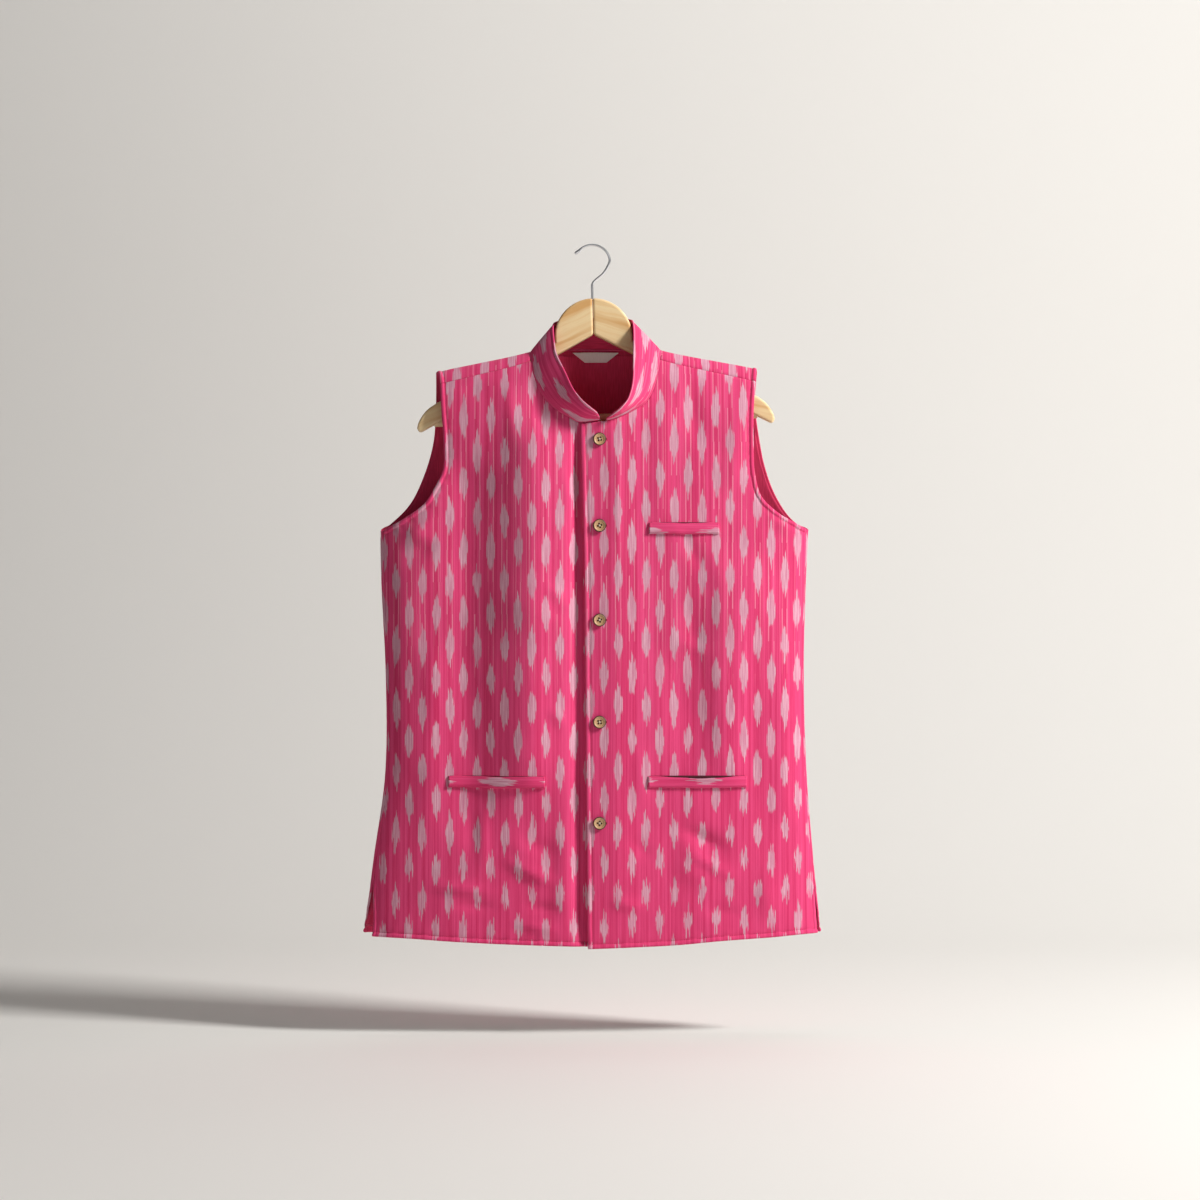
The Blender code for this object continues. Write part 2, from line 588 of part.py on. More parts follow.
def make_collar(collection, ikat, plain):
    share = np.linspace(0, 1, COLLAR_COLUMN_COUNT + 1)
    height = np.linspace(0, 1, COLLAR_ROW_COUNT + 1)
    places = np.stack(np.meshgrid(share, height), axis=-1)
    cloth("collar", collar_surface, places, BAND_THICKNESS, ikat, collection)
    places[..., 0] = np.clip(places[..., 0], FACING_INSET[0], 1 - FACING_INSET[0])
    places[..., 1] = np.clip(places[..., 1], FACING_INSET[1], 1 - FACING_INSET[1])
    cloth("collar_facing", collar_surface, places, LINING_THICKNESS, plain, collection,
          inside=BAND_THICKNESS + SEAM_GAP)


def make_welts(collection, ikat):
    for name, left, right, top, bottom, side in WELTS:
        x = np.linspace(left, right, WELT_CELLS[0] + 1)
        z = np.linspace(bottom, top, WELT_CELLS[1] + 1)
        points = np.stack(np.meshgrid(x, z), axis=-1)
        places = coordinates(points.reshape(-1, 2), -1).reshape(points.shape)
        cloth(name, partial(front_surface, side=side), places, WELT_THICKNESS, ikat, collection,
              inside=-WELT_THICKNESS - WELT_GAP)


def make_label(collection, white):
    t = np.linspace(0, 1, LABEL_CELLS[1] + 1)[:, None]
    half = LABEL_BOTTOM_HALF + (LABEL_TOP_HALF - LABEL_BOTTOM_HALF) * t
    x = CENTRE_X + half * np.linspace(1, -1, LABEL_CELLS[0] + 1)
    z = LABEL_BOTTOM_Z + (LABEL_TOP_Z - LABEL_BOTTOM_Z) * t + 0 * x
    points = np.stack([x, z], axis=-1)
    places = coordinates(points.reshape(-1, 2), 1).reshape(points.shape)
    cloth("label", shell, places, LABEL_THICKNESS, white, collection,
          inside=PANEL_THICKNESS + LINING_GAP + LINING_THICKNESS + LABEL_GAP)


def screw_mesh_object(name, profile, finish, collection, steps):
    """A turned piece about Z from (radius, z) pairs that run down its outer side."""
    mesh = bpy.data.meshes.new(name)
    mesh.from_pydata([(r, 0, z) for r, z in profile], [(k, k + 1) for k in range(len(profile) - 1)], [])
    made = add(name, mesh, finish, collection)
    turned = made.modifiers.new("turned", "SCREW")
    turned.steps = turned.render_steps = steps
    turned.use_merge_vertices = True
    turned.merge_threshold = 0.00001
    return made


def make_buttons(collection, cutters, coconut):
    half = BUTTON_THICKNESS / 2
    inner = BUTTON_RADIUS - BUTTON_RIM
    profile = ((0, half - BUTTON_DISH), (inner - BUTTON_DISH, half - BUTTON_DISH), (inner, half),
               (BUTTON_RADIUS - BUTTON_EDGE, half), (BUTTON_RADIUS, half - BUTTON_EDGE),
               (BUTTON_RADIUS - BUTTON_EDGE / 2, BUTTON_EDGE - half),
               (BUTTON_RADIUS - 2 * BUTTON_EDGE, -half), (0, -half))
    pitch = BUTTON_HOLE_PITCH / 2
    cutting = bmesh.new()
    for x, y in ((-pitch, -pitch), (pitch, -pitch), (pitch, pitch), (-pitch, pitch)):
        made = bmesh.ops.create_cone(cutting, cap_ends=True, segments=6, radius1=BUTTON_HOLE_RADIUS,
                                     radius2=BUTTON_HOLE_RADIUS, depth=BUTTON_THICKNESS * 2)
        bmesh.ops.translate(cutting, verts=made["verts"], vec=(x, y, 0))
    mesh = bpy.data.meshes.new("button_holes")
    cutting.to_mesh(mesh)
    cutting.free()
    for number, z in enumerate(BUTTON_Z, start=1):
        face = front_surface(coordinates([(BUTTON_X, z)], -1), "top")[0]
        place = (BUTTON_X, face[1] - BUTTON_SEAT - half, z)
        button = screw_mesh_object(f"button_{number}", profile, coconut, collection, BUTTON_STEPS)
        cutter = bpy.data.objects.new(f"button_holes_{number}", mesh)
        cutters.objects.link(cutter)
        cutter.hide_render = True
        cutter.display_type = "WIRE"
        for piece in (button, cutter):
            piece.location = place
            piece.rotation_euler = (math.pi / 2, 0, 0)
        holes = button.modifiers.new("holes", "BOOLEAN")
        holes.operation = "DIFFERENCE"
        holes.object = cutter


# --- the hanger -------------------------------------------------------------------------------
def arm_outline(sign):
    """(x, z) round one half of the hanger, about the middle of the dome."""
    meet = math.atan2(ARM_TOP[0][1], ARM_TOP[0][0])
    turn = np.linspace(math.acos(HALF_JOINT / DOME_RADIUS), meet, DOME_STEPS)
    dome = np.stack([np.cos(turn), np.sin(turn)], axis=-1) * DOME_RADIUS
    corner = TIP[-1][0] - TIP_CORNER
    under = (corner, APEX_Z - corner * math.tan(ARM_PITCH))
    points = np.concatenate([dome, ARM_TOP[1:-1], smooth_line(TIP, 9), [under], [(HALF_JOINT, APEX_Z)]])
    return points * [sign, 1]


def outline_mesh(name, points, thickness):
    """A closed mesh of a flat outline in XZ, thickness deep along Y."""
    curve = bpy.data.curves.new(name, "CURVE")
    curve.dimensions = "2D"
    curve.fill_mode = "BOTH"
    curve.extrude = thickness / 2
    line = curve.splines.new("POLY")
    line.points.add(len(points) - 1)
    for point, (x, z) in zip(line.points, points):
        point.co = (x, z, 0, 1)
    line.use_cyclic_u = True
    holder = bpy.data.objects.new(name + "_outline", curve)
    bpy.context.scene.collection.objects.link(holder)
    bpy.context.view_layer.update()
    evaluated = holder.evaluated_get(bpy.context.evaluated_depsgraph_get())
    mesh = bpy.data.meshes.new_from_object(evaluated)
    bpy.data.objects.remove(holder)
    bpy.data.curves.remove(curve)
    built = bmesh.new()
    built.from_mesh(mesh)
    bmesh.ops.remove_doubles(built, verts=built.verts, dist=0.00001)
    bmesh.ops.dissolve_limit(built, angle_limit=0.001, verts=built.verts, edges=built.edges)
    bmesh.ops.rotate(built, verts=built.verts, cent=(0, 0, 0),
                     matrix=Matrix.Rotation(math.pi / 2, 3, "X"))
    built.to_mesh(mesh)
    built.free()
    return mesh


def cylinder(name, radius, length, collection, segments=24):
    made = bmesh.new()
    bmesh.ops.create_cone(made, cap_ends=True, segments=segments, radius1=radius, radius2=radius,
                          depth=length)
    mesh = bpy.data.meshes.new(name)
    made.to_mesh(mesh)
    made.free()
    piece = bpy.data.objects.new(name, mesh)
    collection.objects.link(piece)
    return piece


def cut(piece, cutter):
    away = piece.modifiers.new("cut_" + cutter.name, "BOOLEAN")
    away.operation = "DIFFERENCE"
    away.object = cutter


def make_hanger(collection, cutters, pine, steel):
    hanger = bpy.data.objects.new("hanger", None)
    collection.objects.link(hanger)
    hanger.location = (HANGER_CENTRE[0], 0, HANGER_CENTRE[1])
    hanger.rotation_euler = (0, -HANGER_TILT, 0)
    bar = cylinder("trouser_bar", BAR_RADIUS, 2 * BAR_HALF_LENGTH, collection)
    socket = cylinder("bar_socket", BAR_RADIUS + SEAM_GAP, 2 * (BAR_HALF_LENGTH + SEAM_GAP), cutters)
    for piece in (bar, socket):
        piece.parent = hanger
        piece.location = (0, 0, BAR_Z)
        piece.rotation_euler = (0, math.pi / 2, 0)
    bar.data.materials.append(pine)
    bar.data.shade_smooth()
    bar.data.set_sharp_from_angle(angle=math.radians(40))
    hole = cylinder("hook_hole", WIRE_RADIUS + SEAM_GAP, 2 * HOOK_SEAT_DEPTH, cutters, 12)
    hole.location = (STEM_AND_BEND[0][0], 0, STEM_AND_BEND[0][1] + HOOK_SEAT_DEPTH - SEAM_GAP)
    for cutter in (socket, hole):
        cutter.hide_render = True
        cutter.display_type = "WIRE"
    for name, sign in (("hanger_arm_left", -1), ("hanger_arm_right", 1)):
        mesh = outline_mesh(name, arm_outline(sign), HANGER_THICKNESS)
        arm = add(name, mesh, pine, collection, hanger)
        edge = arm.modifiers.new("edge", "BEVEL")
        edge.width = HANGER_EDGE
        edge.segments = 3
        edge.limit_method = "ANGLE"
        edge.angle_limit = math.radians(60)
        cut(arm, socket)
        cut(arm, hole)
    make_hook(collection, steel)


def make_hook(collection, steel):
    """The steel wire: a stem that bends into the crook and ends in a small bead."""
    turn = np.linspace(CROOK_START, CROOK_END, 9)
    crook = np.stack([np.cos(turn), np.sin(turn)], axis=-1) * CROOK_RADIUS + CROOK_CENTRE
    route = smooth_line(np.concatenate([STEM_AND_BEND, crook, [HOOK_END]]), HOOK_POINTS)
    curve = bpy.data.curves.new("hook", "CURVE")
    curve.dimensions = "3D"
    curve.bevel_depth = WIRE_RADIUS
    curve.bevel_resolution = 3
    curve.use_fill_caps = True
    line = curve.splines.new("POLY")
    line.points.add(len(route) - 1)
    for point, (x, z) in zip(line.points, route):
        point.co = (x, 0, z, 1)
    for point, swell in zip(line.points[-len(HOOK_TIP):], HOOK_TIP):
        point.radius = swell
    holder = bpy.data.objects.new("hook_wire", curve)
    collection.objects.link(holder)
    bpy.context.view_layer.update()
    evaluated = holder.evaluated_get(bpy.context.evaluated_depsgraph_get())
    mesh = bpy.data.meshes.new_from_object(evaluated)
    bpy.data.objects.remove(holder)
    bpy.data.curves.remove(curve)
    built = bmesh.new()
    built.from_mesh(mesh)
    bmesh.ops.remove_doubles(built, verts=built.verts, dist=0.00001)
    built.to_mesh(mesh)
    built.free()
    mesh.materials.clear()
    add("hook", mesh, steel, collection)


# --- everything -------------------------------------------------------------------------------
def main():
    for old in list(bpy.data.objects):
        bpy.data.objects.remove(old)
    jacket = bpy.data.collections.new("nehru_jacket")
    cutters = bpy.data.collections.new("cutters")
    for made in (jacket, cutters):
        bpy.context.scene.collection.children.link(made)
    ikat = material("ikat_cotton", PINK, 0.85)
    plain = material("plain_cotton", LINING_PINK, 0.8)
    white = material("woven_label", LABEL_WHITE, 0.7)
    coconut = material("coconut_shell", COCONUT, 0.45)
    pine = material("lacquered_pine", PINE, 0.4)
    steel = material("steel_wire", STEEL, 0.3, 1.0)
    make_panels(jacket, ikat, plain)
    make_collar(jacket, ikat, plain)
    make_welts(jacket, ikat)
    make_label(jacket, white)
    make_buttons(jacket, cutters, coconut)
    make_hanger(jacket, cutters, pine, steel)


main()
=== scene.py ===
"""Nehru jacket of ikat cotton on a wooden hanger: how it looks, on the frame that the CAD gives.

Metres, +Z up, the jacket's front faces -Y. The tables up to "seams and stitching" and the shell
are the ones that the CAD's cloth is made from, so a fine panel lies where its plain solid does.
"""

import math
from functools import partial

import bmesh
import bpy
import numpy as np
from mathutils import Matrix, Vector


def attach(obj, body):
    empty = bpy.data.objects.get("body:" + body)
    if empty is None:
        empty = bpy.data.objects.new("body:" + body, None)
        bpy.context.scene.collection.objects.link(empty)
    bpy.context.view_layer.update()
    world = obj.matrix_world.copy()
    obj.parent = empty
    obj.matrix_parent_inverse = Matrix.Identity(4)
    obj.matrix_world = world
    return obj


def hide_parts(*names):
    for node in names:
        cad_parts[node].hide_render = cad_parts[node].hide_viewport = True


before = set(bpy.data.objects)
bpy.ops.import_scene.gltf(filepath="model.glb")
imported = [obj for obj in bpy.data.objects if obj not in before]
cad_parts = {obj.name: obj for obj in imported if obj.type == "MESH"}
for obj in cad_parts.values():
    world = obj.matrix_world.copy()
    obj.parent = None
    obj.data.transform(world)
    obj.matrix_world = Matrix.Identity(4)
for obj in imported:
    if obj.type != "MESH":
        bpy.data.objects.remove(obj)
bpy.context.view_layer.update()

# --- cloth ------------------------------------------------------------------------------------
SEAM_GAP = 0.0003
PANEL_THICKNESS = 0.0016
LINING_THICKNESS = 0.0010
BAND_THICKNESS = 0.0012
PLACKET_LIFT = PANEL_THICKNESS + 0.0009   # the top front's height over the under one
PLACKET_FADE = (0.022, 0.070)             # where that height goes back to nothing
UNDER_CLEAR = (-0.024, -0.015)            # the under front has no folds past here
SHOULDER_CLEAR = (0.018, 0.040)           # folds die away this far below the shoulder line
LABEL_GAP = 0.0012
LINING_GAP = 0.0008
BUTTON_SEAT = 0.0005
NORMAL_STEP = 0.0002                      # step in a surface's coordinates to find its normals

# --- the shell: one row for each level section ------------------------------------------------
SECTION_COLUMNS = ("height", "left", "right", "front_depth", "back_depth")
SECTIONS = (
    (-0.100, -0.2640, 0.2580, 0.0440, 0.0460),
    (-0.150, -0.2640, 0.2580, 0.0410, 0.0430),
    (-0.250, -0.2640, 0.2580, 0.0350, 0.0320),
    (-0.352, -0.2712, 0.2618, 0.0370, 0.0300),
    (-0.420, -0.2700, 0.2590, 0.0370, 0.0290),
    (-0.527, -0.2648, 0.2565, 0.0360, 0.0280),
    (-0.664, -0.2660, 0.2605, 0.0365, 0.0280),
    (-0.764, -0.2800, 0.2685, 0.0385, 0.0290),
    (-0.872, -0.2935, 0.2785, 0.0400, 0.0300),
)
FULLNESS = 0.16           # how much squarer than an ellipse the level section is
ARCH_DROP = 0.170         # drop over which the shoulder arch reaches its full depth

# --- shoulder line ----------------------------------------------------------------------------
CENTRE_X = -0.003
SHOULDER_CENTRE_Z = -0.1150
SHOULDER_SLOPE = 0.193
SHOULDER_TILT = 0.0110
SHOULDER_ROUND = 0.020
NECK_RISE = 0.022
NECK_REACH = 0.050
SEAM_FORWARD_AT_NECK = 0.0130     # how far the shoulder seam lies below the fold, on the front
SEAM_FORWARD_AT_ARM = 0.0165

# --- cut edges, as (x, z) ---------------------------------------------------------------------
PLACKET_EDGE = ((-0.0123, -0.8708), (-0.0148, -0.636), (-0.0173, -0.390), (-0.0216, -0.2224))
UNDER_EDGE = ((0.0215, -0.8690), (0.0205, -0.500), (0.0195, -0.2235))
HEM_UNDER = ((0.0215, -0.8690), (-0.060, -0.8670), (-0.130, -0.8648), (-0.185, -0.8622),
             (-0.240, -0.8590), (-0.2812, -0.8580))
HEM_TOP = ((-0.0123, -0.8708), (0.037, -0.8690), (0.100, -0.8662), (0.148, -0.8618),
           (0.218, -0.8575), (0.258, -0.8545), (0.2752, -0.8538))
HEM_BACK = ((-0.2916, -0.8540), (-0.200, -0.8600), (0.000, -0.8630), (0.190, -0.8585),
            (0.2785, -0.8530))
SLIT_TOP_Z = -0.7866
SIDE_SEAM_INSET_LEFT = 0.0040     # how far the side seam lies inside the side fold
SIDE_SEAM_INSET_RIGHT = 0.0022
SLIT_LENGTH = 0.068
SLIT_SPREAD_LEFT = 0.0068
SLIT_SPREAD_RIGHT = 0.0012
SIDE_GAP_ANGLE = 0.010            # keeps the back's side edge off the front's
ARMHOLE_START = 4                 # where the armhole's smoothed line takes over from the side edge
ARMHOLE_FRONT_LEFT = ((-0.2670, -0.3535), (-0.2385, -0.3375), (-0.2140, -0.3190),
                      (-0.2015, -0.2990), (-0.1935, -0.2830), (-0.1918, -0.2400),
                      (-0.1945, -0.2040), (-0.1963, -0.1690))
ARMHOLE_BACK_LEFT = ((-0.2690, -0.3545), (-0.2350, -0.3200), (-0.2170, -0.2820),
                     (-0.2060, -0.2420), (-0.2030, -0.2000), (-0.2020, -0.1570))
ARMHOLE_FRONT_RIGHT = ((0.2590, -0.3515), (0.2450, -0.3440), (0.2200, -0.3290),
                       (0.2030, -0.3120), (0.1950, -0.2850), (0.1930, -0.2450),
                       (0.1935, -0.2000), (0.1960, -0.1680))
ARMHOLE_BACK_RIGHT = ((0.2605, -0.3530), (0.2430, -0.3400), (0.2240, -0.3130),
                      (0.2100, -0.2770), (0.2010, -0.2320), (0.1965, -0.1900),
                      (0.1985, -0.1560))

# --- collar: one row for each station round the neck ------------------------------------------
# The base is where the band is sewn to the jacket; its depth follows from the shell.
# Columns: base_x, base_z, top_x, top_y, top_z.
COLLAR_LEFT_FRONT = (
    (0.0025, -0.2187, 0.0015, -0.0455, -0.2117),
    (-0.0111, -0.2202, -0.0025, -0.0510, -0.2081),
    (-0.0242, -0.2202, -0.0098, -0.0540, -0.2024),
    (-0.0362, -0.2140, -0.0196, -0.0535, -0.1937),
    (-0.0527, -0.2041, -0.0307, -0.0490, -0.1790),
    (-0.0681, -0.1874, -0.0406, -0.0410, -0.1574),
    (-0.0781, -0.1659, -0.0509, -0.0325, -0.1357),
    (-0.0825, -0.1475, -0.0538, -0.0230, -0.1200),
    (-0.0841, -0.1309, -0.0554, -0.0050, -0.0988),
)
COLLAR_BACK = (
    (-0.0640, -0.1285, -0.0515, 0.0100, -0.0915),
    (-0.0374, -0.1272, -0.0340, 0.0135, -0.0880),
    (-0.0030, -0.1270, -0.0040, 0.0150, -0.0870),
    (0.0300, -0.1270, 0.0250, 0.0135, -0.0870),
    (0.0570, -0.1268, 0.0395, 0.0100, -0.0890),
)
COLLAR_RIGHT_FRONT = (
    (0.0773, -0.1278, 0.0430, -0.0040, -0.0938),
    (0.0765, -0.1450, 0.0439, -0.0220, -0.1139),
    (0.0735, -0.1630, 0.0436, -0.0320, -0.1336),
    (0.0685, -0.1800, 0.0435, -0.0398, -0.1512),
    (0.0605, -0.1945, 0.0426, -0.0462, -0.1708),
    (0.0480, -0.2035, 0.0380, -0.0512, -0.1897),
    (0.0334, -0.2113, 0.0296, -0.0545, -0.2023),
    (0.0200, -0.2160, 0.0193, -0.0525, -0.2109),
    (0.0099, -0.2188, 0.0103, -0.0460, -0.2161),
)
COLLAR_ROLL = 0.0015              # how far the band bulges between its edges
COLLAR_LIFT_FRONT = 0.0010        # how far the band stands off the neckline in front
COLLAR_LIFT_BACK = 0.0007
COLLAR_LIFT_DEPTHS = (0.004, 0.020)       # the clearance grows between these depths in front

# --- folds: soft ridges (+) and troughs (-) that run from one point to another ----------------
# Columns: x_0, z_0, x_1, z_1, width, height.
FOLDS_UNDER = (
    (-0.0260, -0.245, -0.0245, -0.880, 0.0080, -0.0040),   # trough beside the placket's edge
    (-0.0440, -0.235, -0.0420, -0.860, 0.0120, 0.0026),    # ridge beyond it
    (-0.0800, -0.195, -0.0850, -0.690, 0.0360, 0.0075),    # long fold from the neck
    (-0.1620, -0.250, -0.1580, -0.760, 0.0300, -0.0048),   # hollow beside it
    (-0.1960, -0.170, -0.1080, -0.148, 0.0100, -0.0024),   # drag line on the shoulder
    (-0.2450, -0.350, -0.1900, -0.375, 0.0110, 0.0022),    # drag line under the armhole
    (-0.1300, -0.720, -0.0550, -0.785, 0.0140, 0.0024),    # break below the pocket
)
FOLDS_TOP = (
    (0.0950, -0.480, 0.1250, -0.660, 0.0260, -0.0034),     # hollow between the pockets
    (0.0950, -0.735, 0.1700, -0.775, 0.0130, -0.0026),     # break below the pocket
    (0.0900, -0.760, 0.1550, -0.800, 0.0130, 0.0024),
    (0.1950, -0.370, 0.1900, -0.600, 0.0240, 0.0030),
)
FOLD_FADE = 0.060                 # a fold dies away over this length at each end

# --- patches: how a panel's rows and columns lie between its edges ----------------------------
FRONT_ROWS = (13, 5, 9)           # hem to underarm, on to the neckline, on to the seam
CROWDING = 0.40                   # how much closer the columns stand beside the placket
EDGE_FADE = 2                     # keeps the hem's and the seam's spacing off the armhole
ROW_SAG = 0.03                    # turns the rows away from the neckline and the armhole
TURN_WEIGHT = 0.09                # metres that a radian of bend counts for in the spacing
BACK_ROWS = (9, 6, 5)             # hem to underarm, on to the shoulder, over it
FACING_INSET = (0.004, 0.02)      # how far the facing ends inside the collar, as shares

# --- pockets, label, buttons ------------------------------------------------------------------
# Columns: name, left, right, top, bottom, and the front it lies on.
WELTS = (
    ("welt_chest", 0.0632, 0.1496, -0.3445, -0.3584, "top"),
    ("welt_lower_right", 0.0616, 0.1837, -0.6578, -0.6720, "top"),
    ("welt_lower_left", -0.1853, -0.0655, -0.6580, -0.6722, "under"),
)
WELT_THICKNESS = 0.0012
LABEL_TOP_HALF = 0.0300
LABEL_BOTTOM_HALF = 0.0140
LABEL_TOP_Z = -0.1286
LABEL_BOTTOM_Z = -0.1412
LABEL_THICKNESS = 0.0010
BUTTON_X = 0.0020
BUTTON_Z = (-0.2412, -0.3480, -0.4647, -0.5907, -0.7154)
BUTTON_RADIUS = 0.0080
BUTTON_THICKNESS = 0.0030
BUTTON_RIM = 0.0017
BUTTON_DISH = 0.0008
BUTTON_EDGE = 0.0008                      # rounding of the rim
BUTTON_DISH_ROUND = 0.00012               # the same where the dish starts
BUTTON_HOLE_RADIUS = 0.0009
BUTTON_HOLE_PITCH = 0.0032

# --- seams and stitching ----------------------------------------------------------------------
# How far from an edge a panel's closest lines of vertices lie.
EDGE_STEPS = (0.0, 0.0004, 0.0010, 0.0020, 0.0034, 0.0044, 0.0051, 0.0058, 0.0070, 0.0090)
EDGE_ROUND = 0.0007               # how far an edge's rounding reaches in
MOST_ROUND = 0.45                 # the same in thin cloth, as a share of its thickness
RIM_BULGE = 0.00012
GROOVE_DEPTH = 0.0008             # of the line that stitches pull in
GROOVE_WIDTH = 0.0010
PUCKER_REACH = 0.008
STITCH_PITCH = 0.0027
STITCH_LENGTH = 0.0019
STITCH_RADIUS = 0.00024
STITCH_SIDES = 5
STITCH_LINE_POINTS = 240
# name: distance of the stitching from the edge, swell beside it, height and length of puckers,
# place of the swell as a share of that distance
EDGES = {
    "hem": (0.0060, 0.00130, 0.00060, 0.021, 0.30),
    "placket": (0.0055, 0.00060, 0.00025, 0.034, 0.50),
    "armhole": (0.0056, 0.00090, 0.00045, 0.013, 0.50),
    "slit": (0.0052, 0.00060, 0.00035, 0.017, 0.50),
    "seam": (0.0030, 0.0, 0.00010, 0.024, 0.50),
    "neck": (0.0030, 0.0, 0.00015, 0.016, 0.50),
    "band": (0.0036, 0.00045, 0.00012, 0.019, 0.50),
    "lining": (0.0020, 0.00020, 0.00060, 0.010, 0.50),
    "raw": (0.0040, 0.0, 0.0, 0.02, 0.50),
}
FRONT_FINE = (189, 62)            # rows and columns of a front
BACK_FINE = (180, 128)            # and of the back

# --- creases that the plain solids leave out --------------------------------------------------
# Columns: x_0, z_0, x_1, z_1, width on its left as it runs down, width on its right, height.
CREASES_UNDER = (
    (-0.0790, -0.1850, -0.0800, -0.5000, 0.0500, 0.0400, 0.0052),
    (-0.0440, -0.2350, -0.0420, -0.7600, 0.0120, 0.0120, -0.0014),
    (-0.0800, -0.4000, -0.0860, -0.7200, 0.0520, 0.0300, 0.0048),
    (-0.1660, -0.2350, -0.1600, -0.6600, 0.0220, 0.0220, -0.0022),
    (-0.2420, -0.3650, -0.2440, -0.6800, 0.0170, 0.0300, 0.0034),
    (-0.1950, -0.3330, -0.2530, -0.3740, 0.0090, 0.0090, 0.0030),
    (-0.1930, -0.3560, -0.2450, -0.4040, 0.0100, 0.0100, -0.0024),
    (-0.1150, -0.1500, -0.1020, -0.2600, 0.0120, 0.0120, 0.0026),
    (-0.0864, -0.1450, -0.0600, -0.2550, 0.0090, 0.0090, -0.0034),
    (-0.1700, -0.1900, -0.1330, -0.1460, 0.0090, 0.0090, -0.0026),
    (-0.1425, -0.6800, -0.1420, -0.7900, 0.0060, 0.0060, 0.0026),
    (-0.1560, -0.6900, -0.1590, -0.7700, 0.0090, 0.0090, -0.0022),
    (-0.1300, -0.7560, -0.0420, -0.7960, 0.0065, 0.0085, 0.0050),
    (-0.1050, -0.7330, -0.0400, -0.7580, 0.0100, 0.0100, -0.0026),
    (-0.2200, -0.7940, -0.1180, -0.8010, 0.0055, 0.0065, 0.0040),
    (-0.1900, -0.8160, -0.1150, -0.8210, 0.0060, 0.0060, -0.0024),
    (-0.1120, -0.8390, -0.0400, -0.8490, 0.0055, 0.0060, 0.0036),
    (-0.0980, -0.8170, -0.0350, -0.8260, 0.0070, 0.0070, -0.0034),
    (-0.0680, -0.4230, -0.0360, -0.4440, 0.0050, 0.0070, 0.0034),
    (-0.0650, -0.4440, -0.0360, -0.4640, 0.0060, 0.0060, -0.0020),
    (-0.0660, -0.5700, -0.0350, -0.6010, 0.0055, 0.0070, 0.0030),
    (-0.0400, -0.2750, -0.0320, -0.3500, 0.0060, 0.0060, 0.0022),
    (-0.2050, -0.4700, -0.2120, -0.7500, 0.0160, 0.0140, 0.0020),
)
CREASES_TOP = (
    (0.0215, -0.2150, 0.0225, -0.8300, 0.0180, 0.0160, 0.0016),
    (0.0240, -0.2300, 0.0250, -0.4100, 0.0040, 0.0040, 0.0009),
    (0.0480, -0.5200, 0.1507, -0.5215, 0.0018, 0.0018, -0.0006),
    (0.0480, -0.3650, 0.0500, -0.5200, 0.0035, 0.0035, 0.0006),
    (0.1500, -0.3650, 0.1507, -0.5200, 0.0035, 0.0035, 0.0006),
    (0.1520, -0.3600, 0.1560, -0.6900, 0.0180, 0.0440, 0.0052),
    (0.1010, -0.3450, 0.1330, -0.4150, 0.0090, 0.0110, -0.0030),
    (0.1120, -0.4250, 0.1250, -0.5500, 0.0130, 0.0130, -0.0036),
    (0.0950, -0.4900, 0.1420, -0.5080, 0.0070, 0.0070, 0.0022),
    (0.0880, -0.6900, 0.0840, -0.8300, 0.0150, 0.0150, -0.0018),
    (0.0880, -0.7170, 0.1720, -0.7560, 0.0075, 0.0100, -0.0062),
    (0.0950, -0.7420, 0.1760, -0.7880, 0.0070, 0.0080, 0.0048),
    (0.0330, -0.7300, 0.0720, -0.7640, 0.0080, 0.0080, -0.0020),
    (0.1130, -0.1500, 0.1260, -0.2700, 0.0120, 0.0120, -0.0026),
    (0.0800, -0.1700, 0.0740, -0.3600, 0.0140, 0.0140, 0.0020),
    (0.1760, -0.1800, 0.1650, -0.3300, 0.0130, 0.0160, 0.0026),
    (0.2080, -0.3300, 0.2500, -0.3640, 0.0090, 0.0090, 0.0024),
    (0.2260, -0.4200, 0.2330, -0.7400, 0.0140, 0.0200, 0.0030),
    (0.1900, -0.4300, 0.1940, -0.7000, 0.0120, 0.0120, -0.0020),
    (0.2050, -0.7550, 0.2120, -0.8500, 0.0110, 0.0150, 0.0030),
    (0.0050, -0.8100, 0.0640, -0.8220, 0.0065, 0.0075, 0.0036),
    (0.0500, -0.6100, 0.0560, -0.7100, 0.0090, 0.0090, 0.0018),
    (0.1200, -0.8200, 0.1900, -0.8300, 0.0070, 0.0070, -0.0020),
)
CREASES_BACK = (
    (-0.1500, -0.2600, -0.1300, -0.8400, 0.0220, 0.0220, 0.0056),
    (-0.0850, -0.1900, -0.0950, -0.7000, 0.0180, 0.0180, -0.0040),
    (0.0100, -0.1800, 0.0000, -0.8500, 0.0260, 0.0260, 0.0048),
    (0.0900, -0.2100, 0.1000, -0.7600, 0.0200, 0.0200, -0.0038),
    (0.1550, -0.2800, 0.1450, -0.8400, 0.0200, 0.0200, 0.0050),
    (-0.2300, -0.3700, -0.1500, -0.4200, 0.0110, 0.0110, 0.0020),
    (0.2250, -0.3700, 0.1500, -0.4150, 0.0110, 0.0110, 0.0020),
    (-0.2000, -0.6500, -0.0800, -0.7300, 0.0140, 0.0140, 0.0016),
    (0.1900, -0.7000, 0.0700, -0.7500, 0.0140, 0.0140, -0.0016),
    (-0.0400, -0.1650, -0.1100, -0.1900, 0.0090, 0.0090, 0.0012),
)
UNDULATION = 0.0014                       # of the soft unevenness all over
UNDULATION_CLEAR = (0.030, 0.075)         # the top front stays even this near the buttons
CREASE_POWER = 1.7                        # a crease's crest is sharper than a fold's, at 2
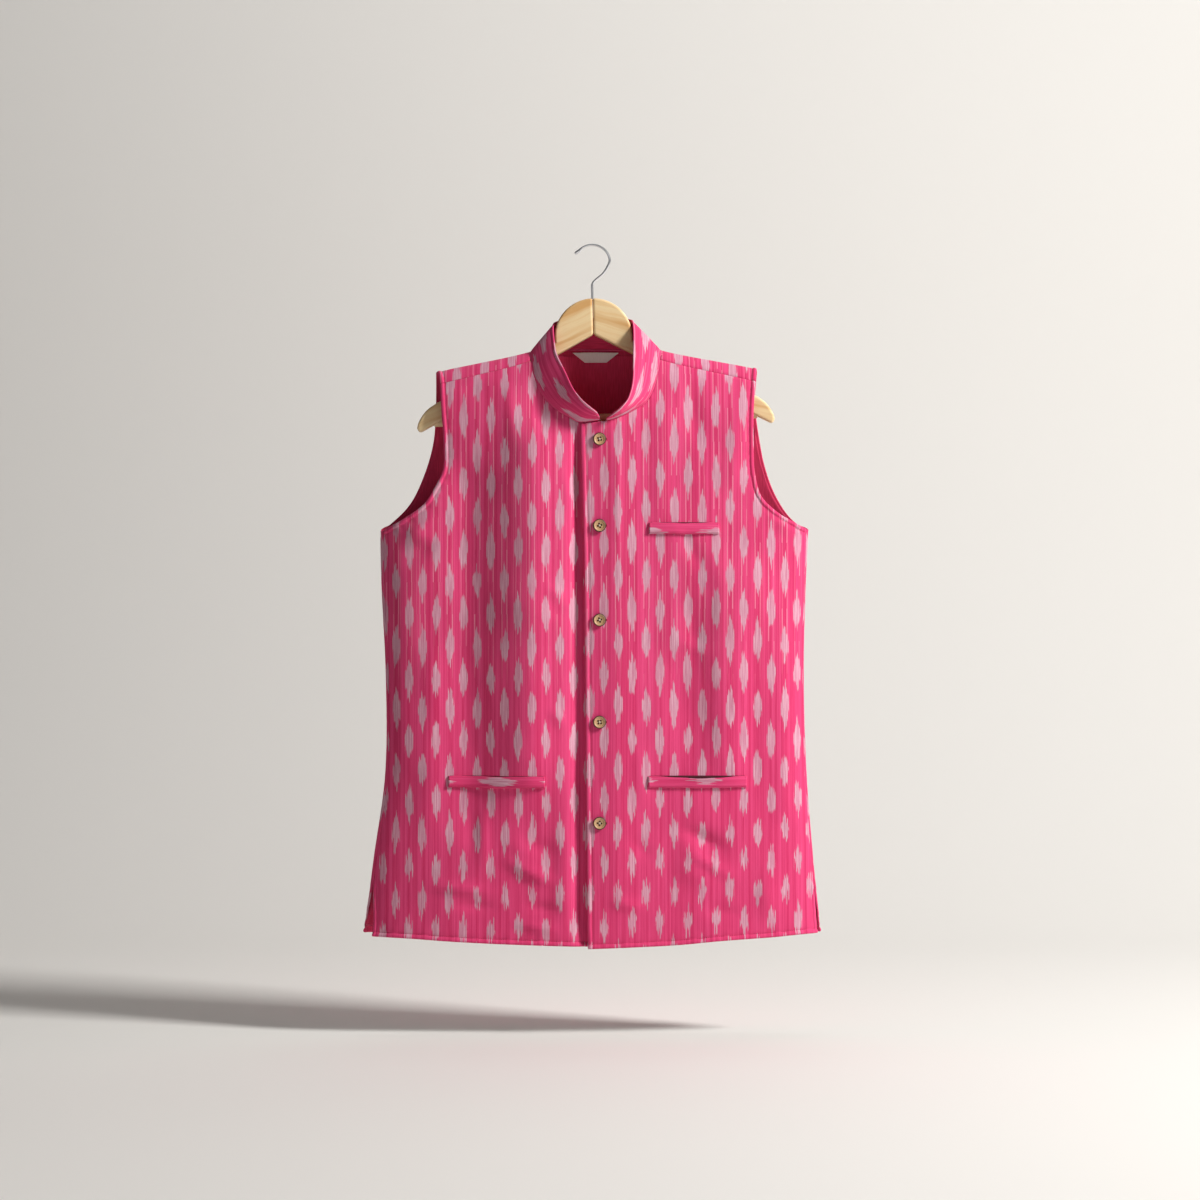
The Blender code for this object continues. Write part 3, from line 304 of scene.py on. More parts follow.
# Height, and how far the under front sinks beside the placket's edge there.
PLACKET_TROUGH = ((-0.88, 0.0042), (-0.80, 0.0056), (-0.735, 0.0036), (-0.66, 0.0052), (-0.59, 0.0034),
                  (-0.50, 0.0030), (-0.42, 0.0052), (-0.36, 0.0040), (-0.29, 0.0062), (-0.235, 0.0040))
PLACKET_TROUGH_REACH = 0.0075
PLACKET_TROUGH_AT = 0.0040                # its middle, left of that edge
# x, and the height above which the collar holds the under front flat.
NECK_CLEAR = ((-0.0900, -0.120), (-0.0800, -0.150), (-0.0620, -0.186), (-0.0420, -0.208),
              (-0.0200, -0.218), (0.0250, -0.218))

# --- the ikat ---------------------------------------------------------------------------------
# Where its columns and rows lie, for each panel: the first column's middle, the columns' pitch,
# the first row's height, the rows' pitch there, and how much it shrinks further down.
IKAT = {
    "top": (0.0075, 0.01733, -0.2019, 0.0846, 0.00056),
    "under": (-0.0299, 0.0171, -0.2156, 0.0822, 0.0005),
    "back": (-0.0035, 0.0172, -0.1330, 0.0838, 0.00050),
}
HEM_TILT = 0.036                          # how much the rows rise across, near the hem
HEM_TILT_RISE = (0.66, 0.84)              # depths between which that tilt sets in
COLLAR_ROW = 0.080                        # length of the ikat's rows on the collar and the welts
COLLAR_PHASE = (0.65, 0.30)               # column and row at the base of its right front end
# The motif in millimetres: its columns' and rows' pitch, half its length in the middle, and the
# steps of its outline as (distance from the middle, how much shorter it is past there).
COLUMN_MM = 17.3
ROW_MM = 82.0
MOTIF_HALF = 26.0
MOTIF_STEPS = ((1.2, 4.5), (2.7, 5.0), (4.1, 6.5), (5.6, 60.0))
MOTIF_ENDS = 3.0                          # length over which a thread's dye fades
MOTIF_SHIFT = (0.9, 6.0)                  # how far a motif strays across and along
BUNDLE = 1.35                             # width of the threads that were dyed together
BUNDLE_STRAY = (11.0, 6.0)                # how far their ends stray, and how much more at the hem
THREAD = 0.50                             # width of one thread of a bundle
THREAD_STRAY = 5.0
HEM_ROWS = (5.4, 7.0)                     # rows over which the motifs get shorter

# --- lining, collar, welts, buttonholes -------------------------------------------------------
LINING_FINE = (120, 84)                   # rows and columns
LINING_STEPS = (0.0, 0.006, 0.012, 0.018, 0.022)  # its lowest rows, from the hem
LINING_INSET = 4                          # columns of EDGE_STEPS that the lining leaves free
LINING_REACH = 1.50                       # side angle, in radians, where it ends
LINING_SAG = 0.0009
CREASES_LINING = (
    (-0.0800, -0.1900, -0.0650, -0.5200, 0.0150, 0.0150, 0.0022),
    (0.0450, -0.1900, 0.0600, -0.4600, 0.0140, 0.0140, 0.0018),
    (-0.0100, -0.4000, 0.0150, -0.7900, 0.0200, 0.0200, 0.0024),
    (-0.1700, -0.4200, -0.1600, -0.7900, 0.0170, 0.0170, 0.0020),
    (0.1600, -0.4000, 0.1700, -0.7900, 0.0170, 0.0170, 0.0022),
    (-0.2300, -0.8150, 0.2300, -0.8150, 0.0090, 0.0090, 0.0026),
)
COLLAR_FINE = (300, 14)                   # columns and rows
# Shares of the height, from either edge, and of a welt's length, from either end.
COLLAR_STEPS = (0.0, 0.009, 0.022, 0.045, 0.070, 0.080, 0.092, 0.12, 0.16)
WELT_ENDS = (0.0, 0.006, 0.016, 0.035)
COLLAR_CORNER = 0.006                     # rounding of its front ends
COLLAR_CORNER_DROP = 0.45                 # share of the height that they lose
NECK_SEAM = (0.0013, 0.0006, 0.0012)      # its radius, how far below the band, how far inside
# Share of the welt's height, and how far it stands off the front there.
WELT_RISE = ((0.0, 0.0006), (0.04, 0.0016), (0.11, 0.0025), (0.22, 0.0028), (0.40, 0.0025),
             (0.60, 0.0021), (0.80, 0.0017), (0.92, 0.0013), (0.98, 0.0010), (1.0, 0.0006))
WELT_BAR_HEIGHT = 0.0027                  # of the bar's stitches over the front
WELT_BAR_STITCH = (0.0016, 0.0013)        # pitch and length
BAR_INSET = 0.0014                        # from the welt's ends
BAR_ENDS = (0.0012, 0.0008)               # from its foot, and from its top
WELT_COLUMNS = 42
WELT_WAVES = ((0.0003, 9), (0.0002, 23))  # height and pace of its unevenness
WELT_SAG = 0.8                            # how far its top edge sinks, as a share of the gape
WELT_END = (0.012, 0.35)                  # share over which its ends come down, and how low
WELT_CLEAR = 0.0003
# the near-black sheet of painted shade in a pocket's opening:
MOUTH_COLUMNS = 40
MOUTH_INSET = 0.0022
MOUTH_EDGES = ((-0.0020, -0.8), (0.0004, 0.12))   # from the welt's top, and share of the gape
MOUTH_HEIGHTS = (0.00045, 0.00020)        # of its outer and its inner face over the front
# How far the pocket's mouth gapes, and where the ikat falls on the strip.
WELT_LOOKS = {
    "welt_chest": (0.0006, -0.15, 6.20),
    "welt_lower_right": (0.0030, -0.55, 6.36),
    "welt_lower_left": (0.0003, -0.45, 6.55),
}
BUTTON_TURNS = (0.25, -0.5, 1.1, 0.1, 0.7)    # radians
BUTTON_THREAD = (0.00027, 0.0006)         # radius, and how far it arches over the shell
BUTTONHOLE = (0.0040, 0.0102)             # from one end to the other, as x
BUTTONHOLE_HALF_WIDTH = 0.0009
BUTTONHOLE_THREAD = 0.00036
BUTTONHOLE_SLIT = 0.0005
BUTTONHOLE_HEIGHT = 0.00010

# --- colours, linear --------------------------------------------------------------------------
GROUND_DARK = (0.590, 0.018, 0.105)
GROUND_LIGHT = (0.850, 0.080, 0.245)
TAIL = (0.880, 0.300, 0.420)              # of the thin lines that run on from the motifs
MOTIF_DARK = (0.470, 0.190, 0.290)
MOTIF_LIGHT = (0.780, 0.460, 0.560)
LINING_DARK = (0.600, 0.020, 0.092)
LINING_LIGHT = (0.740, 0.034, 0.140)
# painted shade: near-black, for the pockets' openings and the buttonholes' slits
PAINTED_SHADE_DARK = (0.060, 0.002, 0.010)
PAINTED_SHADE_LIGHT = (0.090, 0.004, 0.016)
THREAD_PINK = (0.700, 0.058, 0.185)
# painted shade: a thread darker than the cloth, for the hem's groove and the buttonholes' rims
THREAD_PAINTED_SHADE = (0.420, 0.012, 0.060)
THREAD_WHITE = (0.780, 0.760, 0.700)
LABEL_DARK = (0.880, 0.850, 0.820)
LABEL_LIGHT = (0.940, 0.920, 0.890)
PINE_LIGHT = (0.900, 0.690, 0.400)
PINE_MIDDLE = (0.850, 0.590, 0.300)
PINE_DARK = (0.680, 0.360, 0.120)
COCONUT_LIGHT = (0.700, 0.450, 0.240)
COCONUT_MIDDLE = (0.420, 0.235, 0.110)
# of the rim, and painted shade in and round the buttons' holes
COCONUT_DARK = (0.045, 0.026, 0.014)
STEEL = (0.800, 0.815, 0.850)
BACKDROP = (0.780, 0.765, 0.740)

# --- studio -----------------------------------------------------------------------------------
CAMERA_DISTANCE = 4.0
CAMERA_AIM = (0.0025, -0.440)             # x and z
FRAME_WIDTH = 1.4958                      # what the picture spans in the hanger's plane
SENSOR_MM = 36.0
FLOOR_Z = -0.98
FLOOR_FRONT_Y = -6.0
BACKDROP_Y = 2.2
BACKDROP_HEIGHT = 6.0
BACKDROP_HALF_WIDTH = 7.0
SWEEP = 1.2                               # radius between the floor and the backdrop
# Columns: name, place, aim, size, power, colour.
LIGHTS = (
    ("key", (2.95, -1.42, 1.70), (0.0, 0.0, -0.45), (0.8, 1.0), 206.0, (1.0, 0.985, 0.96)),
    ("fill", (-2.0, -3.2, 0.2), (0.0, 0.0, -0.45), (1.6, 1.8), 3.0, (1.0, 0.98, 0.98)),
    ("back", (0.0, 0.6, 2.2), (0.0, 2.2, -0.2), (2.4, 0.6), 9.0, (1.0, 1.0, 1.0)),
)
WORLD_COLOUR = (1.0, 0.985, 0.96)
WORLD_STRENGTH = 0.075

# --- curves through the tables ----------------------------------------------------------------
def spline(knots, values, at):
    """Smooth values at the places `at`, through a table's values at its rising knots."""
    knots = np.asarray(knots, float)
    values = np.asarray(values, float)
    at = np.clip(np.asarray(at, float), knots[0], knots[-1])
    step = np.diff(knots)
    slope = np.diff(values) / step
    tangent = np.empty_like(values)
    tangent[0], tangent[-1] = slope[0], slope[-1]
    tangent[1:-1] = (slope[:-1] * step[1:] + slope[1:] * step[:-1]) / (step[:-1] + step[1:])
    k = np.clip(np.searchsorted(knots, at) - 1, 0, len(step) - 1)
    h = step[k]
    t = (at - knots[k]) / h
    return (values[k] * (1 + 2 * t) * (1 - t) ** 2 + values[k + 1] * t * t * (3 - 2 * t)
            + h * tangent[k] * t * (1 - t) ** 2 + h * tangent[k + 1] * t * t * (t - 1))


def lengths(points):
    """Distance along a line of points, from its start to each of them."""
    return np.concatenate([[0], np.cumsum(np.linalg.norm(np.diff(points, axis=0), axis=1))])


def smooth_line(points, count=80):
    """Points at even spacing on a smooth curve through the given ones."""
    points = np.asarray(points, float)
    knots = lengths(points)
    at = np.linspace(0, knots[-1], count)
    return np.stack([spline(knots, points[:, k], at) for k in range(points.shape[1])], axis=-1)


def smoothstep(low, high, value):
    t = np.clip((value - low) / (high - low), 0, 1)
    return t * t * (3 - 2 * t)


def section(name, z):
    """A column of SECTIONS at height z."""
    rows = SECTIONS[::-1]
    column = SECTION_COLUMNS.index(name)
    return spline([row[0] for row in rows], [row[column] for row in rows], z)


# --- the shell --------------------------------------------------------------------------------
def shoulder_z(x):
    """Height of the fold on top of the shoulders, carried on over the neck."""
    off = np.asarray(x, float) - CENTRE_X
    return (SHOULDER_CENTRE_Z - SHOULDER_SLOPE * np.sqrt(off ** 2 + SHOULDER_ROUND ** 2)
            + SHOULDER_TILT * off + NECK_RISE * np.exp(-((off / NECK_REACH) ** 2)))


def coordinates(points, face, over=False):
    """(side angle, drop) of (x, z) points. face is 1 on the back and -1 on the front.
    over puts points of the back past the side fold, which brings them to the front."""
    x, z = np.asarray(points, float).T
    left, right = section("left", z), section("right", z)
    angle = np.arcsin(np.clip((2 * x - left - right) / (right - left), -1, 1))
    if over:
        angle = np.sign(angle) * math.pi - angle
    below = np.maximum(shoulder_z(x) - z, 0)
    arch = ARCH_DROP * np.arccos(np.clip(1 - below / ARCH_DROP, 0, 1))
    drop = np.where(below < ARCH_DROP, arch, ARCH_DROP * (math.pi / 2 - 1) + below)
    return np.stack([angle, face * drop], axis=-1)


def shell(places):
    """Points of the shell at an array of (side angle, drop)."""
    angle, drop = places[..., 0], places[..., 1]
    size = np.abs(drop)
    turn = np.clip(drop / ARCH_DROP, -math.pi / 2, math.pi / 2)
    below = ARCH_DROP * (1 - np.cos(turn)) + np.maximum(size - ARCH_DROP * math.pi / 2, 0)
    x = np.sin(angle) * section("right", -0.4)
    for _ in range(8):
        z = shoulder_z(x) - below
        left, right = section("left", z), section("right", z)
        x = (left + right) / 2 + (right - left) / 2 * np.sin(angle)
    out = np.cos(angle) * (1 + FULLNESS * np.sin(angle) ** 2) * np.sin(turn)
    depth = np.where(out > 0, section("back_depth", z), section("front_depth", z))
    return np.stack([x, out * depth, z], axis=-1)


def fold_height(rows, x, z, power=2):
    """Outward height at (x, z) of a table's folds or creases, which have a width on each side."""
    total = np.zeros_like(x)
    for x_0, z_0, x_1, z_1, *widths, height in rows:
        run = np.array([x_1 - x_0, z_1 - z_0])
        length = np.linalg.norm(run)
        run /= length
        on = (x - x_0) * run[0] + (z - z_0) * run[1]
        off = (x - x_0) * run[1] - (z - z_0) * run[0]
        fade = min(FOLD_FADE, length / 2)
        ends = smoothstep(0, fade, on) * smoothstep(0, fade, length - on)
        width = np.where(off > 0, widths[0], widths[-1])
        total = total + height * ends * np.exp(-(np.abs(off) / width) ** power)
    return total


def crease_height(rows, x, z):
    return fold_height(rows, x, z, CREASE_POWER)


def relief(side, x, z):
    """How far a front stands outside the shell. side is "top" or "under" in the placket."""
    seam_clear = smoothstep(*SHOULDER_CLEAR, shoulder_z(x) - z)
    if side == "top":
        lift = PLACKET_LIFT * (1 - smoothstep(*PLACKET_FADE, x))
        return lift + seam_clear * fold_height(FOLDS_TOP, x, z)
    return seam_clear * (1 - smoothstep(*UNDER_CLEAR, x)) * fold_height(FOLDS_UNDER, x, z)


def front_surface(places, side):
    """Points of a front's outer surface at an array of (side angle, drop)."""
    points = shell(places)
    points[..., 1] -= relief(side, points[..., 0], points[..., 2])
    return points


def outward(surface, places):
    """Unit normals of a surface at an array of its two coordinates."""
    steps = np.array([[NORMAL_STEP, 0], [0, NORMAL_STEP]])
    one, other = (surface(places + step) - surface(places - step) for step in steps)
    normal = np.cross(one, other)
    return normal / np.linalg.norm(normal, axis=-1, keepdims=True)


# --- cut edges in coordinates -----------------------------------------------------------------
def side_edge(sign, low, high, on_back):
    """The side seam from height low up to high, with the slit's two edges drawn apart."""
    z = np.linspace(low, high, 60)
    left = sign < 0
    edge = section("left" if left else "right", z)
    slit = smoothstep(0, SLIT_LENGTH, SLIT_TOP_Z - z)
    inset = SIDE_SEAM_INSET_LEFT if left else SIDE_SEAM_INSET_RIGHT
    spread = SLIT_SPREAD_LEFT if left else SLIT_SPREAD_RIGHT
    inset = inset * (1 - slit) if on_back else inset + spread * slit
    places = coordinates(np.stack([edge - sign * inset, z], axis=-1), 1 if on_back else -1, on_back)
    if on_back:
        places[:, 0] -= sign * SIDE_GAP_ANGLE
    return places


def neck_places():
    """The neckline all round, from the left front end to the right one."""
    front = [row[:2] for row in COLLAR_LEFT_FRONT]
    back = [row[:2] for row in COLLAR_BACK]
    other = [row[:2] for row in COLLAR_RIGHT_FRONT]
    return np.concatenate([coordinates(front, -1), coordinates(back, 1), coordinates(other, -1)])


def neck_curve(share):
    """Coordinates of the neckline at shares (0 to 1) of the collar's rows."""
    places = neck_places()
    knots = np.linspace(0, 1, len(places))
    return np.stack([spline(knots, places[:, k], share) for k in (0, 1)], axis=-1)


def neck_stretch(start, end, count=60):
    return neck_curve(np.linspace(start, end, count))


def level_line(start, end):
    """Coordinates along the line that looks straight from the front, between two places."""
    ends = shell(np.array([start, end]))[:, [0, 2]]
    return coordinates(np.linspace(*ends, 13), -1)


def seam_shares():
    """Shares of the neckline where it crosses the two shoulder seams."""
    share = np.linspace(0, 1, 2001)
    drop = neck_curve(share)[:, 1]
    seam_drop = coordinates([(0.08, shoulder_z(0.08) - SEAM_FORWARD_AT_NECK)], -1)[0, 1]
    inside = np.flatnonzero(drop > seam_drop)
    return share[inside[0]], share[inside[-1]]


def shoulder_seam(neck, arm_x, gap=0.0):
    """The shoulder seam on the front, from the neckline out to the armhole."""
    start = shell(neck)
    x = np.linspace(start[0], arm_x, 60)
    share = (x - start[0]) / (arm_x - start[0])
    below = shoulder_z(start[0]) - start[2]
    below = below + (SEAM_FORWARD_AT_ARM - below) * share - gap
    return coordinates(np.stack([x, shoulder_z(x) - below], axis=-1), -1)


def collar_surface(places):
    """Points of the collar's outer surface at an array of (share round the neck from its
    right front end, share of height)."""
    share, w = 1 - places[..., 0], places[..., 1, None]
    neck = neck_curve(share)
    base = shell(neck)
    side = np.where(share < 0.5, relief("under", base[..., 0], base[..., 2]),
                    relief("top", base[..., 0], base[..., 2]))
    base[..., 1] -= np.where(neck[..., 1] < 0, side, 0)
    table = np.array(COLLAR_LEFT_FRONT + COLLAR_BACK + COLLAR_RIGHT_FRONT)
    knots = np.linspace(0, 1, len(table))
    top = np.stack([spline(knots, table[:, k], share) for k in (2, 3, 4)], axis=-1)
    rise = top - base
    forward = smoothstep(*COLLAR_LIFT_DEPTHS, -base[..., 1:2])
    lift = COLLAR_LIFT_BACK + (COLLAR_LIFT_FRONT - COLLAR_LIFT_BACK) * forward
    start = base + rise * lift / np.linalg.norm(rise, axis=-1, keepdims=True)
    middle = shell(neck_curve(np.full(1, 0.5)))[0] * [1, 0, 1]
    out = (base - middle) * [1, 1, 0]
    out /= np.linalg.norm(out, axis=-1, keepdims=True)
    return start + (top - start) * w + out * COLLAR_ROLL * 4 * w * (1 - w)


# --- fine patches -----------------------------------------------------------------------------
def edge_of(*stretches):
    """An edge that can be read anywhere: stretches are (share it ends at, coordinates)."""
    runs = [lengths(shell(stretch)) + TURN_WEIGHT * lengths(outward(shell, stretch))
            for _, stretch in stretches]

    def read(share):
        share = np.asarray(share, float)
        places = np.zeros(share.shape + (2,))
        start = 0.0
        for (end, stretch), run in zip(stretches, runs):
            at = run[-1] * np.clip((share - start) / (end - start), 0, 1)
            here = (share > start) | (start == 0)
            for k in (0, 1):
                places[..., k] = np.where(here, np.interp(at, run, stretch[:, k]), places[..., k])
            start = end
        return places
    return read


def patch(left, right, bottom, top, t, v, progress=None, fade=1, sag=0.0):
    """Coordinates at shares t across and v up between four edges, as in a Coons patch."""
    low, high = bottom(t), top(t)
    ends = bottom(np.array([0.0, 1.0]))[:, 0]
    u = ((low[..., 0] - ends[0]) / (ends[1] - ends[0]))[..., None]
    at = (v if progress is None else progress)[..., None]
    low_chord = (1 - u) * left(np.zeros(1)) + u * right(np.zeros(1))
    high_chord = (1 - u) * left(np.ones(1)) + u * right(np.ones(1))
    grid = (1 - u) * left(v) + u * right(v)
    grid = grid + (1 - at) ** fade * (low - low_chord) + at ** fade * (high - high_chord)
    return grid - 16 * u * (1 - u) * at * (1 - at) * np.array([0, sag])


def fine_grid(patch_at, surface, rows, columns, near_bottom=EDGE_STEPS):
    """Coordinates on a fine grid, with extra rows along the bottom edge and extra columns
    along both sides, at the distances EDGE_STEPS from them."""
    t = np.linspace(0, 1, 181)
    v = np.linspace(0, 1, rows + 1)
    dense_t, dense_v = np.meshgrid(t, np.linspace(0, 0.1, 61))
    strip = surface(patch_at(dense_t, dense_v))
    rise = np.concatenate([np.zeros((1, len(t))), np.cumsum(
        np.linalg.norm(np.diff(strip, axis=0), axis=-1), axis=0)])
    low = [[np.interp(d, rise[:, k], dense_v[:, 0]) for k in range(len(t))] for d in near_bottom]
    plain = [np.full(len(t), share) for share in v if share * rise[-1].min() / 0.1 > near_bottom[-1] * 1.2]
    grid = []
    for line in low + plain:
        places = patch_at(t, np.asarray(line))
        run = lengths(surface(places))
        side = np.asarray(EDGE_STEPS)
        middle = np.linspace(side[-1], run[-1] - side[-1], columns + 1)
        at = np.concatenate([side[:-1], middle, run[-1] - side[:-1][::-1]])
        grid.append(np.stack([np.interp(at, run, places[:, k]) for k in (0, 1)], axis=-1))
    return np.array(grid)


def nearest(points, line):
    """Distance from each point to a line of points, and how far along it that is."""
    start, run = line[:-1], np.diff(line, axis=0)
    square = np.maximum((run ** 2).sum(-1), 1e-14)
    along = lengths(line)
    flat = points.reshape(-1, 3)
    distance, place = np.empty(len(flat)), np.empty(len(flat))
    for k in range(0, len(flat), 4000):
        off = flat[k:k + 4000, None] - start
        t = np.clip((off * run).sum(-1) / square, 0, 1)
        gap = np.linalg.norm(off - t[..., None] * run, axis=-1)
        best = gap.argmin(1)
        here = np.arange(len(best))
        distance[k:k + 4000] = gap[here, best]
        place[k:k + 4000] = along[best] + t[here, best] * np.sqrt(square[best])
    return distance.reshape(points.shape[:-1]), place.reshape(points.shape[:-1])


def ripple(seed, place, wave):
    """An uneven wave along a line, between about -1 and 1."""
    phase = np.random.default_rng(seed).uniform(0, 2 * math.pi, 4)
    sizes = ((1.0, 0.45), (1.63, 0.3), (0.57, 0.3), (2.9, 0.15))
    return sum(size * np.sin(2 * math.pi * place / wave * pace + p)
               for (pace, size), p in zip(sizes, phase))


def undulation(seed, x, z):
    """Soft unevenness of hanging cloth, about 1 at its highest."""
    rng = np.random.default_rng(seed)
    total = np.zeros_like(x)
    for wave in (0.150, 0.095, 0.062, 0.041):
        for _ in range(2):
            lean = rng.uniform(-0.5, 0.5)
            stretch = rng.uniform(1.6, 3.2)
            phase, other = rng.uniform(0, 2 * math.pi, 2)
            total = total + wave / 0.6 * np.sin(2 * math.pi * (x + lean * z) / wave + phase) \
                * np.sin(2 * math.pi * (z - lean * x) / (wave * stretch) + other)
    return total


# --- cloth objects ----------------------------------------------------------------------------
def put(name, mesh, finish, replaces=()):
    """A piece of the object: it rides on the one body, and may stand for CAD nodes."""
    made = bpy.data.objects.new(name, mesh)
    bpy.context.scene.collection.objects.link(made)
    for used in finish if isinstance(finish, (list, tuple)) else [finish]:
        mesh.materials.append(used)
    mesh.shade_smooth()
    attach(made, "root")
    if replaces:
        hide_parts(*replaces)
    return made


def uv_layer(mesh, name, values):
    """Gives each corner the UV of its vertex."""
    corners = np.empty(len(mesh.loops), np.int32)
    mesh.loops.foreach_get("vertex_index", corners)
    mesh.uv_layers.new(name=name).data.foreach_set("uv", values[corners].astype(np.float32).ravel())


def sheet_mesh(name, outer, inner, ikat_uv, weave_uv):
    """A closed wall between two grids of points. The outer layer has the first material, the
    inner one the second, and the rim, which has a middle line of its own, the first."""
    rows, columns = outer.shape[:2]
    index = np.arange(rows * columns).reshape(rows, columns)
    under = index + rows * columns
    ring = np.concatenate([index[0, :-1], index[:-1, -1], index[-1, :0:-1], index[:0:-1, 0]])
    flat_outer, flat_inner = outer.reshape(-1, 3), inner.reshape(-1, 3)
    across = flat_outer[ring] - flat_inner[ring]
    along = np.roll(flat_outer[ring], -1, axis=0) - np.roll(flat_outer[ring], 1, axis=0)
    out = np.cross(along, across)
    out /= np.maximum(np.linalg.norm(out, axis=-1, keepdims=True), 1e-9)
    middle = (flat_outer[ring] + flat_inner[ring]) / 2 + out * RIM_BULGE
    rim = 2 * rows * columns + np.arange(len(ring))
    face = np.stack([index[:-1, :-1], index[:-1, 1:], index[1:, 1:], index[1:, :-1]], axis=-1)
    back = np.stack([under[:-1, :-1], under[1:, :-1], under[1:, 1:], under[:-1, 1:]], axis=-1)
    after, rim_after = np.roll(ring, -1), np.roll(rim, -1)
    sides = [np.stack([after, ring, rim, rim_after], axis=-1),
             np.stack([rim_after, rim, ring + rows * columns, after + rows * columns], axis=-1)]
    quads = np.concatenate([face.reshape(-1, 4), back.reshape(-1, 4), *sides])
    mesh = bpy.data.meshes.new(name)
    mesh.from_pydata(np.concatenate([flat_outer, flat_inner, middle]).tolist(), [], quads.tolist())
    slots = np.zeros(len(quads), np.int32)
    slots[face.shape[0] * face.shape[1]:][:back.shape[0] * back.shape[1]] = 1
    mesh.polygons.foreach_set("material_index", slots)
    for layer, uv in (("ikat", ikat_uv), ("weave", weave_uv)):
        uv = uv.reshape(-1, 2)
        uv_layer(mesh, layer, np.concatenate([uv, uv, uv[ring]]))
    return mesh


def arc_excess(places, points):
    """How much longer the way round the shell is than the way across, at each place."""
    share = np.linspace(0, 1, 33)
    angle = places[..., 0, None] * share
    z = points[..., 2]
    half = (section("right", z) - section("left", z)) / 2
    depth = np.where(places[..., 1] > 0, section("back_depth", z), section("front_depth", z))
    out = np.cos(angle) * (1 + FULLNESS * np.sin(angle) ** 2)
    run = np.hypot(np.diff(half[..., None] * np.sin(angle)), np.diff(depth[..., None] * out))
    return run.sum(-1) - np.abs(half * np.sin(places[..., 0]))


def cloth_place(places, points):
    """(across, up) of each place on the cloth in metres: up its warp, which over the shoulder
    runs on from the back."""
    x, z = points[..., 0], points[..., 2]
    across = x + np.sign(places[..., 0]) * arc_excess(places, points)
    return np.stack([across, z], axis=-1)


def over_shoulder(places, points, cloth):
    """The back's cloth runs on over the shoulders, so its pattern comes down mirrored there."""
    top = shoulder_z(points[..., 0])
    up = np.where(places[..., 1] < 0, 2 * top - cloth[..., 1], cloth[..., 1])
    return np.stack([cloth[..., 0], up], axis=-1)


def lattice(kind, cloth):
    """(column, row) of the ikat at places on the cloth."""
    across, up = cloth[..., 0], cloth[..., 1]
    start, pitch, top, step, bend = IKAT[kind]
    up = up - HEM_TILT * smoothstep(*HEM_TILT_RISE, -up) * across
    fall = np.maximum(step * step + 4 * bend * (up - top), 1e-6)
    return np.stack([(across - start) / pitch, (step - np.sqrt(fall)) / (2 * bend)], axis=-1)


def edge_relief(points, edges, most_round=EDGE_ROUND):
    """Height of the outer and the inner face over the flat panel, from the panel's edges.
    Each edge is a line of points and a row of EDGES."""
    outer, inner = np.zeros(points.shape[:-1]), np.zeros(points.shape[:-1])
    for seed, (line, style) in enumerate(edges):
        at, puff, pucker, wave, place_share = EDGES[style]
        distance, place = nearest(points, line)
        reach = np.clip(1 - distance / most_round, 0, 1)
        roll = most_round * (1 - np.sqrt(1 - reach ** 2))
        waves = ripple(seed + len(points), place, wave)
        fade = np.exp(-((distance - at) / PUCKER_REACH) ** 2)
        swell = puff * np.exp(-((distance - at * place_share) / (at / 2.6)) ** 2)
        groove = GROOVE_DEPTH * np.exp(-((distance - at) / GROOVE_WIDTH) ** 2) if puff else 0
        outer += swell - groove - roll + pucker * waves * fade
        inner += roll + pucker * waves * fade * 0.7
    return outer, inner


def panel(name, surface, places, edges, kind, finish, thickness=PANEL_THICKNESS,
          inside=0.0, replaces=None):
    """A fine panel of cloth over a grid of coordinates, with its edges' seams and stitching."""
    points, normal = surface(places), outward(surface, places)
    outer_height, inner_height = edge_relief(points, edges, min(EDGE_ROUND, MOST_ROUND * thickness))
    outer = points + normal * (outer_height - inside)[..., None]
    inner = points + normal * (inner_height - inside - thickness)[..., None]
    cloth = cloth_place(places, points)
    if kind == "back":
        cloth = over_shoulder(places, points, cloth)
    mesh = sheet_mesh(name + "_cloth", outer, inner, lattice(kind, cloth), cloth)
    return put(name + "_cloth", mesh, finish, replaces or (name,))


# --- the jacket's surfaces with their creases -------------------------------------------------
def creased_front(places, side):
    """A front's outer surface with the smaller creases that its plain solid leaves out."""
    points = front_surface(places, side)
    x, z = points[..., 0], points[..., 2]
    clear = smoothstep(*SHOULDER_CLEAR, shoulder_z(x) - z)
    if side == "top":
        soft = smoothstep(*UNDULATION_CLEAR, x) * undulation(11, x, z)
        more = crease_height(CREASES_TOP, x, z) + UNDULATION * soft
    else:
        heights, depths = np.array(PLACKET_TROUGH).T
        edge = smooth_line(PLACKET_EDGE)
        beside = x - np.interp(z, edge[:, 1], edge[:, 0])
        off = 1 - smoothstep(-0.012, -0.001, beside)
        trough = spline(heights, depths, z) * np.exp(
            -((beside + PLACKET_TROUGH_AT) / PLACKET_TROUGH_REACH) ** 2)
        neck = smoothstep(0, 0.030, np.interp(x, *np.array(NECK_CLEAR).T) - z)
        more = off * (crease_height(CREASES_UNDER, x, z) + UNDULATION * undulation(12, x, z))
        more = (more - trough) * neck
    points[..., 1] -= clear * more
    return points


def creased_back(places):
    """The back's outer surface with its creases, which die away up to the shoulders."""
    points = shell(places)
    x, z = points[..., 0], points[..., 2]
    clear = smoothstep(*SHOULDER_CLEAR, shoulder_z(x) - z) * smoothstep(0, 0.05, places[..., 1])
    more = crease_height(CREASES_BACK, x, z) + UNDULATION * undulation(13, x, z)
    points[..., 1] += clear * more
    return points


